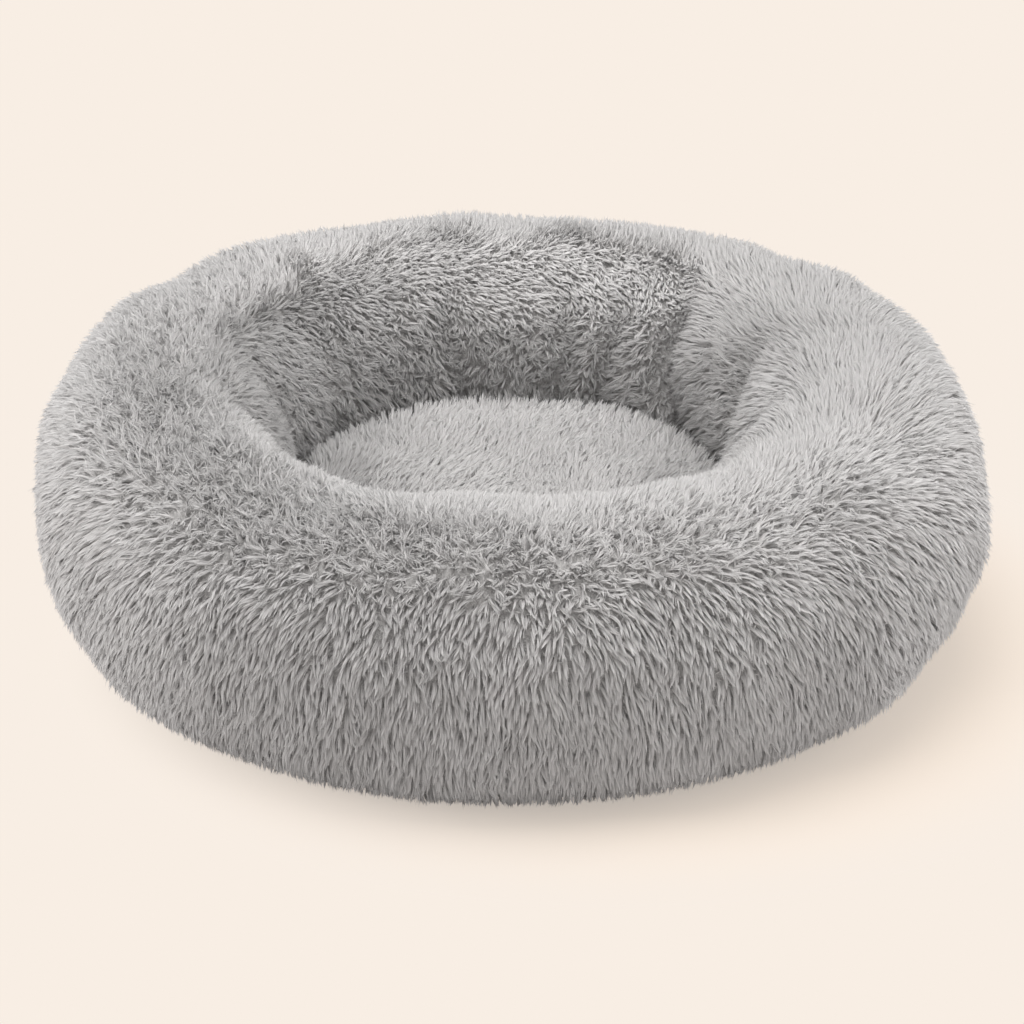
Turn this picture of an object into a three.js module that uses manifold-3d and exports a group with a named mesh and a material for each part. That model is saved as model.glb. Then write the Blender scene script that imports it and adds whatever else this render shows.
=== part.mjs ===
// A round "donut" pet bed: a plush ring stuffed with fibre round a crowned plush pad, on a dotted
// base cloth with a zip across it. Millimetres, +Z up, the bed stands on z = 0, the nest opens upwards.
import * as THREE from "three";
import { mergeVertices } from "three/addons/utils/BufferGeometryUtils.js";
import Module from "manifold-3d";

const wasm = await Module();
wasm.setup();

// Ring, measured to the tips of its fur
const OUTER_RADIUS = 300;
const RING_HEIGHT = 189;
const BELLY_HEIGHT = 101.5;
const CREST_OVERHANG = 78;
const RING_BREADTH = 168;
const BROW_HEIGHT = 102;
const RING_PILE = 22;
const TOP_FULLNESS = 2.24;
const UNDER_FULLNESS = 1.8;
const NEST_FULLNESS = 1.85;

// Slow swells of a ring stuffed by hand: term n has n lobes round the ring, turned by its angle
const OUTER_SWELL = 2.5;
const OUTER_SWELL_SHARES = [0.6, 1.1, 1.1, 0.85];
const OUTER_SWELL_TURNS = [140, -85, -65, 200];
const CREST_SWELL = 5;
const CREST_SWELL_SHARES = [1.1, 0.7, 0.25, 0.5];
const CREST_SWELL_TURNS = [115, 10, 115, 30];
const NEST_SWELL = 3;
const NEST_SWELL_SHARES = [0.6, 0.6, 0.3, 0.3];
const NEST_SWELL_TURNS = [175, 110, 100, 110];
const SWELL_FREE_HEIGHT = 12;
const SWELL_FULL_HEIGHT = 50;

// Gathers that draw the ring's inner wall in towards its seam, in degrees from +X
const GATHER_DEPTH = 7;
const GATHER_WIDTH = 5;
const GATHER_TURNS = [105, 75, 67.5, 45, 15, -7.5, -37.5, -60, -90, -112.5, -142.5, -165, 165, 142.5];
const GATHER_DEPTH_SHARES = [1, 1, 1.1, 2, 1, 0.85, 1, 0.85, 0.85, 1, 1, 1, 1, 1.15];
const GATHER_SHARES = [0, 0.6, 1, 1, 0.7];

// Pad in the middle
const PAD_TOP_HEIGHT = 103;
const PAD_CROWN = 5;
const PAD_RIM_HEIGHT = 95;
const PAD_SHOULDER = 9;
const PAD_PILE = 16;

// Seam of the ring to the pad, and the binding on its edges below
const SEAM_RECESS = 7;
const SEAM_HEIGHT = 75;
const SEAM_TUCK = 4.5;
const SEAM_BINDING_THICKNESS = 3;
const SEAM_BINDING_HEIGHT = 10;

// Base cloth, its grip dots and the binding on its outer seam
const BELLY_OVERHANG = 70;
const BASE_THICKNESS = 0.8;
const DOT_HEIGHT = 1;
const DOT_RADIUS = 3.5;
const DOT_PITCH = 36;
const DOT_MARGIN = 5;
const EDGE_BINDING_THICKNESS = 2;
const EDGE_BINDING_HEIGHT = 7;
const HEM_LIFT = 0.8;

// Liner bags of the two fillings, each sewn a little smaller than the space it fills
const LINER_THICKNESS = 0.8;
const LINER_EASE = 1.6;
const FILLING_EASE = 0.5;
const SLIT_LENGTH = 60;
const SLIT_WIDTH = 2;

// Zip across the base cloth
const ZIP_OFFSET = 80;
const ZIP_MARGIN = 40.5;
const SLOT_WIDTH = 16;
const CHAIN_HEIGHT = 6;
const CHAIN_THICKNESS = 1.8;
const CHAIN_HALF_WIDTH = 1.8;
const CHAIN_PARTING = 1.8;
const CHAIN_BEVEL = 0.4;
const TAPE_THICKNESS = 0.6;
const TAPE_FLAT = 2.2;
const TAPE_WIDTH = 15;
const TAPE_LAP = 1.3;
const TAPE_TAIL = 14;
const PATCH_INSET = 6;

// Slider and its pull
const SLIDER_LENGTH = 11;
const SLIDER_TAIL_WIDTH = 8.4;
const SLIDER_NOSE_WIDTH = 9.6;
const SLIDER_CORNER = 1.6;
const WING_THICKNESS = 0.8;
const FLANGE_THICKNESS = 0.8;
const POST_LENGTH = 2.4;
const BRIDGE_SPAN = 5.2;
const BRIDGE_WIDTH = 1.4;
const BRIDGE_THICKNESS = 0.7;
const PULL_THICKNESS = 1;
const PULL_LENGTH = 24;
const PULL_WIDTH = 6;
const PULL_EYE_WIDTH = 4.8;
const PULL_HOLE_RADIUS = 1.1;
const STOP_LENGTH = 3;
const STOP_WALL = 0.5;
const PULL_ROOM = 1.5;

// Clearance of pieces that touch, reach of a cut past its face, and how finely rounds are cut
const SEAT_GAP = 0.3;
const OVERRUN = 5;
const MERGE_DISTANCE = 0.0001;
const COVER_COLUMNS = 48;
const LINER_COLUMNS = 24;

const bed = new THREE.Group();

// Solids and meshes

function solidFrom(geometry) {
  geometry.deleteAttribute("normal");
  geometry.deleteAttribute("uv");
  const whole = mergeVertices(geometry, MERGE_DISTANCE);
  return new wasm.Manifold(
    new wasm.Mesh({
      numProp: 3,
      vertProperties: new Float32Array(whole.attributes.position.array),
      triVerts: new Uint32Array(whole.index.array),
    }),
  );
}

function geometryFrom(solid) {
  const mesh = solid.getMesh();
  const geometry = new THREE.BufferGeometry();
  geometry.setAttribute("position", new THREE.BufferAttribute(mesh.vertProperties, mesh.numProp));
  geometry.setIndex(new THREE.BufferAttribute(mesh.triVerts, 1));
  geometry.computeVertexNormals();
  return geometry;
}

function finish(color, roughness, metalness = 0) {
  return new THREE.MeshStandardMaterial({ color, roughness, metalness });
}

function place(name, solid, material, parent = bed) {
  const mesh = new THREE.Mesh(geometryFrom(solid), material);
  mesh.name = name;
  parent.add(mesh);
  return mesh;
}

function box(x0, x1, y0, y1, z0, z1) {
  const geometry = new THREE.BoxGeometry(x1 - x0, y1 - y0, z1 - z0);
  geometry.translate((x0 + x1) / 2, (y0 + y1) / 2, (z0 + z1) / 2);
  return solidFrom(geometry);
}

// A plan outline raised from z0 to z1
function raised(shape, z0, z1, curveSegments = 6) {
  const geometry = new THREE.ExtrudeGeometry(shape, {
    depth: z1 - z0,
    bevelEnabled: false,
    curveSegments,
  });
  geometry.translate(0, 0, z0);
  return solidFrom(geometry);
}

// A section of [y, z] points run along X from x0 to x1
function runAlongX(section, x0, x1) {
  const shape = new THREE.Shape(section.map(([y, z]) => new THREE.Vector2(y, z)));
  const geometry = new THREE.ExtrudeGeometry(shape, { depth: x1 - x0, bevelEnabled: false });
  const turn = new THREE.Matrix4().makeBasis(
    new THREE.Vector3(0, 1, 0),
    new THREE.Vector3(0, 0, 1),
    new THREE.Vector3(1, 0, 0),
  );
  geometry.applyMatrix4(turn);
  geometry.translate(x0, 0, 0);
  return solidFrom(geometry);
}

// Swells and gathers

function smooth(share) {
  const x = Math.min(1, Math.max(0, share));
  return x * x * (3 - 2 * x);
}

function swell(angle, height, shares, turns) {
  const terms = shares.map((share, i) => {
    return share * Math.cos((i + 1) * angle - THREE.MathUtils.degToRad(turns[i]));
  });
  return height * terms.reduce((sum, term) => sum + term, 0);
}

// How deep the nearest gather draws the wall in at an angle
function gathered(angle) {
  const degrees = THREE.MathUtils.radToDeg(angle);
  const depths = GATHER_TURNS.map((turn, i) => {
    const away = THREE.MathUtils.euclideanModulo(degrees - turn + 180, 360) - 180;
    return GATHER_DEPTH_SHARES[i] * Math.exp(-((away / GATHER_WIDTH) ** 2));
  });
  return GATHER_DEPTH * Math.max(...depths);
}

// Where the stuffed bed has a point of the evenly round one
function settled(r, z, angle) {
  const outer = smooth((r - FOOT_RADIUS) / (OUTER_RADIUS - FOOT_RADIUS));
  const upper = smooth((z - PAD_TOP_HEIGHT) / (RING_HEIGHT - PAD_TOP_HEIGHT));
  const wallRadius = NEST_RADIUS + RING_PILE;
  const towardsWall = smooth(r / NEST_RADIUS);
  const pastWall = smooth((r - wallRadius) / (CREST_RADIUS - wallRadius));
  const aboveFloor = smooth((z - SWELL_FREE_HEIGHT) / (SWELL_FULL_HEIGHT - SWELL_FREE_HEIGHT));
  const inner = towardsWall * (1 - pastWall) * aboveFloor;
  const out =
    outer * swell(angle, OUTER_SWELL, OUTER_SWELL_SHARES, OUTER_SWELL_TURNS) +
    inner * swell(angle, NEST_SWELL, NEST_SWELL_SHARES, NEST_SWELL_TURNS);
  const up = upper * swell(angle, CREST_SWELL, CREST_SWELL_SHARES, CREST_SWELL_TURNS);
  return [r + out, z + up];
}

// A section of [r, z, gather share] points turned round +Z, then settled
function turned(section, columns) {
  const points = section.map(([r, z]) => new THREE.Vector2(r, z));
  const geometry = new THREE.LatheGeometry(points, columns);
  geometry.rotateX(Math.PI / 2);
  const position = geometry.attributes.position;
  for (let i = 0; i < position.count; i += 1) {
    const [r, z, gatherShare = 0] = section[i % section.length];
    const column = Math.floor(i / section.length) % columns;
    const angle = (2 * Math.PI * column) / columns - Math.PI / 2;
    const drawn = gatherShare > 0 ? gatherShare * gathered(angle) : 0;
    const [settledR, settledZ] = settled(r, z, angle);
    const radius = r > 0 ? settledR + drawn : 0;
    position.setXYZ(i, radius * Math.cos(angle), radius * Math.sin(angle), settledZ);
  }
  return solidFrom(geometry);
}

function closed(section) {
  return [...section, section[0]];
}

// Moves a section's sides inwards; one that starts and ends on the axis keeps its ends there
function inset(section, distance) {
  const onAxis = section[0][0] === 0;
  const count = section.length;
  return section.map(([r, z], i) => {
    let before = section[(i + count - 1) % count];
    let after = section[(i + 1) % count];
    if (onAxis && i === 0) before = [-after[0], after[1]];
    if (onAxis && i === count - 1) after = [-before[0], before[1]];
    const along = [unit(r - before[0], z - before[1]), unit(after[0] - r, after[1] - z)];
    const normals = along.map(([dr, dz]) => [-dz, dr]);
    const sum = [normals[0][0] + normals[1][0], normals[0][1] + normals[1][1]];
    const facing = 1 + normals[0][0] * normals[1][0] + normals[0][1] * normals[1][1];
    return [r + (distance * sum[0]) / facing, z + (distance * sum[1]) / facing];
  });
}

function unit(x, y) {
  const length = Math.hypot(x, y);
  return [x / length, y / length];
}

// Points of a quarter of a full ellipse from its side to its top (or to its foot with height below 0)
function quarter(centreR, centreZ, width, height, fullness, steps) {
  return Array.from({ length: steps + 1 }, (_, i) => {
    const angle = ((Math.PI / 2) * i) / steps;
    const across = Math.cos(angle) ** (2 / fullness);
    const up = Math.sin(angle) ** (2 / fullness);
    return [centreR + width * (i === steps ? 0 : across), centreZ + height * up];
  });
}

function between(from, to, steps) {
  return Array.from({ length: steps + 1 }, (_, i) => {
    return [from[0] + ((to[0] - from[0]) * i) / steps, from[1] + ((to[1] - from[1]) * i) / steps];
  });
}

// Radii and levels that several pieces share

const CREST_RADIUS = OUTER_RADIUS - CREST_OVERHANG;
const NEST_RADIUS = OUTER_RADIUS - RING_BREADTH;
const SEAM_RADIUS = NEST_RADIUS + SEAM_RECESS;
const BASE_RADIUS = OUTER_RADIUS - BELLY_OVERHANG;
const FOOT_RADIUS = BASE_RADIUS + SEAT_GAP;
const ZIP_HALF = Math.sqrt(BASE_RADIUS ** 2 - (ZIP_OFFSET + SLOT_WIDTH / 2) ** 2) - ZIP_MARGIN;
const BASE_TOP = DOT_HEIGHT + BASE_THICKNESS;
const FLOOR_LEVEL = BASE_TOP + SEAT_GAP;
const EDGE_BINDING_TOP = FLOOR_LEVEL + EDGE_BINDING_HEIGHT;
const SEAM_BINDING_TOP = SEAM_HEIGHT - SEAT_GAP;
const SEAM_BINDING_FOOT = SEAM_BINDING_TOP - SEAM_BINDING_HEIGHT;
const SLIDER_TOP = CHAIN_HEIGHT + CHAIN_THICKNESS / 2 + SEAT_GAP + WING_THICKNESS;

// Where the ring's wall meets the pad's rim: shift is the half gap to the ring or to the pad
function rimMeeting(shift) {
  const steps = 2;
  return Array.from({ length: steps + 1 }, (_, i) => {
    const down = i / steps;
    const r = NEST_RADIUS + (SEAM_RADIUS - NEST_RADIUS) * down * down;
    return [r + shift, PAD_RIM_HEIGHT + (SEAM_HEIGHT - PAD_RIM_HEIGHT) * down];
  });
}

// Base cloth: a round panel cut in two by the zip's slot, with a patch that closes each end of it

const plastic = finish("#7f7d7b", 0.75);
const baseCloth = finish("#5f5e5f", 0.9);

function buildBase() {
  const rim = new THREE.Shape().absarc(0, 0, BASE_RADIUS, 0, 2 * Math.PI);
  const disc = raised(rim, DOT_HEIGHT, BASE_TOP, COVER_COLUMNS / 2);
  const reach = BASE_RADIUS + OVERRUN;
  const slotFront = ZIP_OFFSET - SLOT_WIDTH / 2;
  const slotRear = ZIP_OFFSET + SLOT_WIDTH / 2;
  const front = box(-reach, reach, -reach, slotFront, 0, BASE_TOP + OVERRUN);
  const rear = box(-reach, reach, slotRear, reach, 0, BASE_TOP + OVERRUN);
  place("base_front", withDots(disc.intersect(front), -reach, slotFront), baseCloth);
  place("base_rear", withDots(disc.intersect(rear), slotRear, reach), baseCloth);
  const patchStart = ZIP_HALF + PATCH_INSET;
  const patch = [slotFront + SEAT_GAP, slotRear - SEAT_GAP, 0, BASE_TOP + OVERRUN];
  place("zip_patch_left", disc.intersect(box(-reach, -patchStart, ...patch)), baseCloth);
  place("zip_patch_right", disc.intersect(box(patchStart, reach, ...patch)), baseCloth);
}

// Adds the grip dots that fit whole on a panel that lies between two lines along X
function withDots(panel, yFrom, yTo) {
  const rowPitch = DOT_PITCH * Math.sin(Math.PI / 3);
  const rows = Math.ceil(BASE_RADIUS / rowPitch);
  const inRow = Math.ceil(BASE_RADIUS / DOT_PITCH) + 1;
  const edge = DOT_RADIUS + DOT_MARGIN;
  let dotted = panel;
  for (let row = -rows; row <= rows; row += 1) {
    for (let place = -inRow; place <= inRow; place += 1) {
      const x = (place + (row % 2 ? 1 / 2 : 0)) * DOT_PITCH;
      const y = row * rowPitch;
      const fits = y - edge > yFrom && y + edge < yTo && Math.hypot(x, y) + edge < BASE_RADIUS;
      if (fits) dotted = dotted.add(gripDot(x, y));
    }
  }
  return dotted;
}

function gripDot(x, y) {
  const height = DOT_HEIGHT + BASE_THICKNESS / 2;
  const geometry = new THREE.CylinderGeometry(DOT_RADIUS, DOT_RADIUS, height, 6);
  geometry.rotateX(Math.PI / 2);
  geometry.translate(x, y, height / 2);
  return solidFrom(geometry);
}

// A flat hoop that stands on its edge
function hoop(innerRadius, outerRadius, foot, top, columns) {
  const section = [
    [innerRadius, foot],
    [outerRadius, foot],
    [outerRadius, top],
    [innerRadius, top],
  ];
  return turned(closed(section), columns);
}

// Ring cover: plush as deep as its pile, from the outer seam over the crest to the pad's seam
function ringCoverSection() {
  const belly = OUTER_RADIUS - FOOT_RADIUS;
  const shoulder = OUTER_RADIUS - CREST_RADIUS;
  const under = quarter(FOOT_RADIUS, BELLY_HEIGHT, belly, HEM_LIFT - BELLY_HEIGHT, UNDER_FULLNESS, 4);
  const top = quarter(CREST_RADIUS, BELLY_HEIGHT, shoulder, RING_HEIGHT - BELLY_HEIGHT, TOP_FULLNESS, 3);
  const wall = quarter(
    CREST_RADIUS,
    BROW_HEIGHT,
    NEST_RADIUS - CREST_RADIUS,
    RING_HEIGHT - BROW_HEIGHT,
    NEST_FULLNESS,
    4,
  );
  const gatheredWall = wall.map(([r, z], i) => [r, z, GATHER_SHARES[wall.length - 1 - i]]);
  return [
    ...under.reverse(),
    ...top.slice(1),
    ...gatheredWall.reverse().slice(1),
    ...rimMeeting(SEAT_GAP / 2),
    ...ringBacking(3),
  ];
}

// The inner face of the ring cover, from the pad's seam back to the outer seam
function ringBacking(steps) {
  const tuck = [SEAM_RADIUS + SEAM_TUCK, SEAM_HEIGHT];
  const over = quarter(
    CREST_RADIUS,
    BROW_HEIGHT,
    NEST_RADIUS + RING_PILE - CREST_RADIUS,
    RING_HEIGHT - RING_PILE - BROW_HEIGHT,
    2,
    steps,
  );
  const shoulder = quarter(
    CREST_RADIUS,
    BELLY_HEIGHT,
    OUTER_RADIUS - RING_PILE - CREST_RADIUS,
    RING_HEIGHT - RING_PILE - BELLY_HEIGHT,
    2,
    steps,
  );
  const belly = quarter(
    FOOT_RADIUS,
    BELLY_HEIGHT,
    OUTER_RADIUS - RING_PILE - FOOT_RADIUS,
    EDGE_BINDING_TOP + SEAT_GAP - BELLY_HEIGHT,
    2,
    steps,
  );
  return [tuck, ...over, ...shoulder.reverse().slice(1), ...belly.slice(1)];
}

// Pad cover: a plush circle, crowned on top and drawn down to the seam round its rim
function padHeight(r) {
  return PAD_TOP_HEIGHT - PAD_CROWN * (r / NEST_RADIUS) ** 2;
}

function padCoverSection() {
  const shoulder = NEST_RADIUS - PAD_SHOULDER;
  const radii = between([0, 0], [shoulder, 0], 4).map(([r]) => r);
  const top = radii.map((r) => [r, padHeight(r)]);
  const underside = radii.map((r) => [r, padHeight(r) - PAD_PILE]);
  const tip = [SEAM_RADIUS - SEAM_TUCK, SEAM_HEIGHT];
  return [...underside, tip, ...rimMeeting(-SEAT_GAP / 2).reverse(), ...top.reverse()];
}

// Spaces that the liner bags fill

function ringSpace(steps) {
  const wallRadius = SEAM_RADIUS + SEAT_GAP / 2;
  const bindingRadius = SEAM_RADIUS + SEAM_BINDING_THICKNESS / 2 + SEAT_GAP;
  const backing = ringBacking(steps);
  const edgeRadius = BASE_RADIUS - EDGE_BINDING_THICKNESS - SEAT_GAP;
  const wall = between([wallRadius, FLOOR_LEVEL], [wallRadius, SEAM_BINDING_FOOT - 2 * SEAT_GAP], 2);
  const section = [
    ...wall,
    [bindingRadius, SEAM_BINDING_FOOT],
    [bindingRadius, SEAM_BINDING_TOP],
    ...backing.slice(0, -1),
    [edgeRadius, EDGE_BINDING_TOP + SEAT_GAP],
    [edgeRadius, FLOOR_LEVEL],
  ];
  return section.reverse();
}

function padSpace() {
  const wallRadius = SEAM_RADIUS - SEAT_GAP / 2;
  const bindingRadius = SEAM_RADIUS - SEAM_BINDING_THICKNESS / 2 - SEAT_GAP;
  const tip = SEAM_RADIUS - SEAM_TUCK;
  const shoulder = NEST_RADIUS - PAD_SHOULDER;
  const crown = between([shoulder, 0], [0, 0], 2).map(([r]) => [r, padHeight(r) - PAD_PILE]);
  return [
    [0, FLOOR_LEVEL],
    ...between([wallRadius, FLOOR_LEVEL], [wallRadius, SEAM_BINDING_FOOT - 2 * SEAT_GAP], 2),
    [bindingRadius, SEAM_BINDING_FOOT],
    [tip, SEAM_HEIGHT],
    ...crown,
  ];
}

// Room over the zip: shallow over its tapes, deeper where the slider runs
function zipRoom(clearance) {
  const tapeReach = SLOT_WIDTH / 2 + TAPE_WIDTH - TAPE_LAP + clearance;
  const sliderReach = SLOT_WIDTH / 2 + TAPE_LAP + clearance;
  const tapeTop = FLOOR_LEVEL + TAPE_THICKNESS + clearance;
  const sliderTop = SLIDER_TOP + clearance;
  const section = [
    [ZIP_OFFSET - tapeReach, 0],
    [ZIP_OFFSET + tapeReach, 0],
    [ZIP_OFFSET + tapeReach, tapeTop],
    [ZIP_OFFSET + sliderReach, tapeTop],
    [ZIP_OFFSET + sliderReach, sliderTop],
    [ZIP_OFFSET - sliderReach, sliderTop],
    [ZIP_OFFSET - sliderReach, tapeTop],
    [ZIP_OFFSET - tapeReach, tapeTop],
  ];
  const reach = ZIP_HALF + TAPE_TAIL + clearance;
  return runAlongX(section, -reach, reach);
}

// A bag's section, drawn in from the space it fills but still lying on the base cloth
function bagSection(space, distance) {
  return inset(space, distance).map(([r, z], i) => {
    const onBase = space[i][1] === FLOOR_LEVEL;
    return [r, onBase ? FLOOR_LEVEL + distance - LINER_EASE : z];
  });
}

// A liner bag with its fill slit in the underside, and the filling inside it
function buildBag(name, space, slitY) {
  const body = (distance, clearance) => {
    const section = bagSection(space, distance);
    const whole = section[0][0] > 0 ? closed(section) : section;
    return turned(whole, LINER_COLUMNS).subtract(zipRoom(clearance));
  };
  const outside = body(LINER_EASE, SEAT_GAP);
  const inside = body(LINER_EASE + LINER_THICKNESS, SEAT_GAP + LINER_THICKNESS);
  const slit = box(
    -SLIT_LENGTH / 2,
    SLIT_LENGTH / 2,
    slitY - SLIT_WIDTH / 2,
    slitY + SLIT_WIDTH / 2,
    FLOOR_LEVEL - OVERRUN,
    FLOOR_LEVEL + 2 * LINER_THICKNESS,
  );
  place(name + "_liner", outside.subtract(inside).subtract(slit), nonWoven);
  const fillingInset = LINER_EASE + LINER_THICKNESS + FILLING_EASE;
  const fillingRoom = SEAT_GAP + LINER_THICKNESS + FILLING_EASE;
  place(name + "_filling", body(fillingInset, fillingRoom), fibre);
}

// Zip parts; the chain starts where the pull of the opened slider still lies clear of the patch

const CHAIN_END = ZIP_HALF;
const CHAIN_START = PULL_LENGTH + PULL_ROOM - SLIDER_LENGTH / 2 - PATCH_INSET - ZIP_HALF;
const zipCloth = finish("#8a8886", 0.85);
const zipMetal = finish("#a9a8a6", 0.35, 1);

function buildTapeAndChain(name, side) {
  const chainInner = CHAIN_PARTING / 2;
  const chainOuter = chainInner + CHAIN_HALF_WIDTH;
  const tapeEdge = chainOuter + SEAT_GAP;
  const flatEnd = tapeEdge + TAPE_FLAT;
  const lap = SLOT_WIDTH / 2 + TAPE_LAP;
  const tapeEnd = SLOT_WIDTH / 2 + TAPE_WIDTH - TAPE_LAP;
  const half = TAPE_THICKNESS / 2;
  const tapeTop = FLOOR_LEVEL + TAPE_THICKNESS;
  const tape = [
    [tapeEdge, CHAIN_HEIGHT - half],
    [flatEnd, CHAIN_HEIGHT - half],
    [lap, FLOOR_LEVEL],
    [tapeEnd, FLOOR_LEVEL],
    [tapeEnd, tapeTop],
    [lap + half, tapeTop],
    [flatEnd + half, CHAIN_HEIGHT + half],
    [tapeEdge, CHAIN_HEIGHT + half],
  ];
  const low = CHAIN_HEIGHT - CHAIN_THICKNESS / 2;
  const high = CHAIN_HEIGHT + CHAIN_THICKNESS / 2;
  const chain = [
    [chainInner + CHAIN_BEVEL, low],
    [chainOuter - CHAIN_BEVEL, low],
    [chainOuter, low + CHAIN_BEVEL],
    [chainOuter, high - CHAIN_BEVEL],
    [chainOuter - CHAIN_BEVEL, high],
    [chainInner + CHAIN_BEVEL, high],
    [chainInner, high - CHAIN_BEVEL],
    [chainInner, low + CHAIN_BEVEL],
  ];
  const onSide = (section) => section.map(([y, z]) => [ZIP_OFFSET + side * y, z]);
  const tapeReach = ZIP_HALF + TAPE_TAIL;
  place("zip_tape_" + name, runAlongX(onSide(tape), -tapeReach, tapeReach), zipCloth);
  place("zip_chain_" + name, runAlongX(onSide(chain), CHAIN_START, CHAIN_END), plastic);
}

// A clamp round the edge of each tape past the chain's end; sides lists the tapes that it holds
function zipStop(sides, x0) {
  const edge = CHAIN_PARTING / 2 + CHAIN_HALF_WIDTH + SEAT_GAP;
  const slot = TAPE_THICKNESS / 2 + SEAT_GAP;
  const outer = edge + CHAIN_THICKNESS / 2;
  const from = sides.includes(-1) ? -outer : SEAT_GAP;
  const to = sides.includes(1) ? outer : -SEAT_GAP;
  const low = CHAIN_HEIGHT - slot - STOP_WALL;
  const high = CHAIN_HEIGHT + slot + STOP_WALL;
  let clamp = box(x0, x0 + STOP_LENGTH, ZIP_OFFSET + from, ZIP_OFFSET + to, low, high);
  for (const side of sides) {
    const near = side * (edge - SEAT_GAP);
    const far = side * (outer + OVERRUN);
    const [y0, y1] = [Math.min(near, far), Math.max(near, far)];
    clamp = clamp.subtract(
      box(
        x0 - OVERRUN,
        x0 + STOP_LENGTH + OVERRUN,
        ZIP_OFFSET + y0,
        ZIP_OFFSET + y1,
        CHAIN_HEIGHT - slot,
        CHAIN_HEIGHT + slot,
      ),
    );
  }
  return clamp;
}

// The slider is made round its own pull axis' foot: x = 0 is its middle and z = 0 the chain's middle

const WING_INNER = CHAIN_THICKNESS / 2 + SEAT_GAP;
const WING_OUTER = WING_INNER + WING_THICKNESS;
const PULL_RADIUS = PULL_THICKNESS / 2;
const PULL_AXIS_DROP = WING_OUTER + SEAT_GAP + PULL_RADIUS;
const SLIDER_REST = CHAIN_END - SLIDER_LENGTH / 2;

function wingPlan() {
  const half = SLIDER_LENGTH / 2;
  const tail = SLIDER_TAIL_WIDTH / 2;
  const nose = SLIDER_NOSE_WIDTH / 2;
  const plan = new THREE.Shape();
  plan.moveTo(-half + SLIDER_CORNER, -tail);
  plan.lineTo(half - SLIDER_CORNER, -nose);
  plan.quadraticCurveTo(half, -nose, half, -nose + SLIDER_CORNER);
  plan.lineTo(half, nose - SLIDER_CORNER);
  plan.quadraticCurveTo(half, nose, half - SLIDER_CORNER, nose);
  plan.lineTo(-half + SLIDER_CORNER, tail);
  plan.quadraticCurveTo(-half, tail, -half, tail - SLIDER_CORNER);
  plan.lineTo(-half, -tail + SLIDER_CORNER);
  plan.quadraticCurveTo(-half, -tail, -half + SLIDER_CORNER, -tail);
  return plan;
}

function sliderSolid() {
  const half = SLIDER_LENGTH / 2;
  const tapeSlot = TAPE_THICKNESS / 2 + SEAT_GAP;
  const flangeInner = SLIDER_TAIL_WIDTH / 2 - FLANGE_THICKNESS;
  const channel = box(
    -half - OVERRUN,
    half + OVERRUN,
    -flangeInner,
    flangeInner,
    -WING_INNER,
    WING_INNER,
  );
  const sides = box(
    -half - OVERRUN,
    half + OVERRUN,
    -SLIDER_NOSE_WIDTH,
    SLIDER_NOSE_WIDTH,
    -tapeSlot,
    tapeSlot,
  );
  const body = raised(wingPlan(), -WING_OUTER, WING_OUTER, 3).subtract(channel).subtract(sides);
  const postHalf = CHAIN_PARTING / 2 - SEAT_GAP;
  const post = box(half - POST_LENGTH, half, -postHalf, postHalf, -WING_OUTER, WING_OUTER);
  return body.add(post).add(bridgeSolid());
}

// The bridge under the outer wing that the pull's eye hangs on
function bridgeSolid() {
  const low = PULL_AXIS_DROP + PULL_RADIUS + SEAT_GAP + BRIDGE_THICKNESS;
  const half = BRIDGE_SPAN / 2;
  const whole = box(-half, half, -BRIDGE_WIDTH / 2, BRIDGE_WIDTH / 2, -low, -WING_INNER);
  const hollow = box(
    -half + BRIDGE_THICKNESS,
    half - BRIDGE_THICKNESS,
    -BRIDGE_WIDTH,
    BRIDGE_WIDTH,
    -low + BRIDGE_THICKNESS,
    -WING_OUTER,
  );
  return whole.subtract(hollow);
}

// The pull: a plate with an eye round the bridge's leg and a small hole, its axis at x = 0, z = 0
function pullSolid() {
  const eyeHalf = PULL_EYE_WIDTH / 2;
  const half = PULL_WIDTH / 2;
  const legReach = Math.hypot(BRIDGE_SPAN / 2, PULL_RADIUS + SEAT_GAP + BRIDGE_THICKNESS);
  const eyeEnd = legReach + SEAT_GAP;
  const gripStart = eyeEnd + PULL_WIDTH / 2;
  const plan = new THREE.Shape();
  plan.moveTo(0, -eyeHalf);
  plan.lineTo(0, eyeHalf);
  plan.lineTo(-eyeEnd, eyeHalf);
  plan.lineTo(-gripStart, half);
  plan.lineTo(-PULL_LENGTH + half, half);
  plan.absarc(-PULL_LENGTH + half, 0, half, Math.PI / 2, (3 * Math.PI) / 2);
  plan.lineTo(-gripStart, -half);
  plan.lineTo(-eyeEnd, -eyeHalf);
  const hole = new THREE.Path();
  hole.absarc(-PULL_LENGTH + half, 0, PULL_HOLE_RADIUS, 0, 2 * Math.PI);
  plan.holes.push(hole);
  const plate = raised(plan, -PULL_RADIUS, PULL_RADIUS, 6);
  const windowHalf = BRIDGE_WIDTH / 2 + SEAT_GAP;
  const window = box(-eyeEnd, OVERRUN, -windowHalf, windowHalf, -OVERRUN, OVERRUN);
  const barGeometry = new THREE.CylinderGeometry(PULL_RADIUS, PULL_RADIUS, PULL_EYE_WIDTH, 12);
  return plate.subtract(window).add(solidFrom(barGeometry));
}

// Assembly

const ringPlush = finish("#a9a5a2", 0.95);
const padPlush = finish("#c1bdb9", 0.95);
const nonWoven = finish("#e4e2de", 0.9);
const fibre = finish("#f1efec", 1);

buildBase();
place(
  "base_edge_binding",
  hoop(
    BASE_RADIUS - EDGE_BINDING_THICKNESS,
    BASE_RADIUS,
    FLOOR_LEVEL,
    EDGE_BINDING_TOP,
    COVER_COLUMNS,
  ),
  zipCloth,
);

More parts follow.
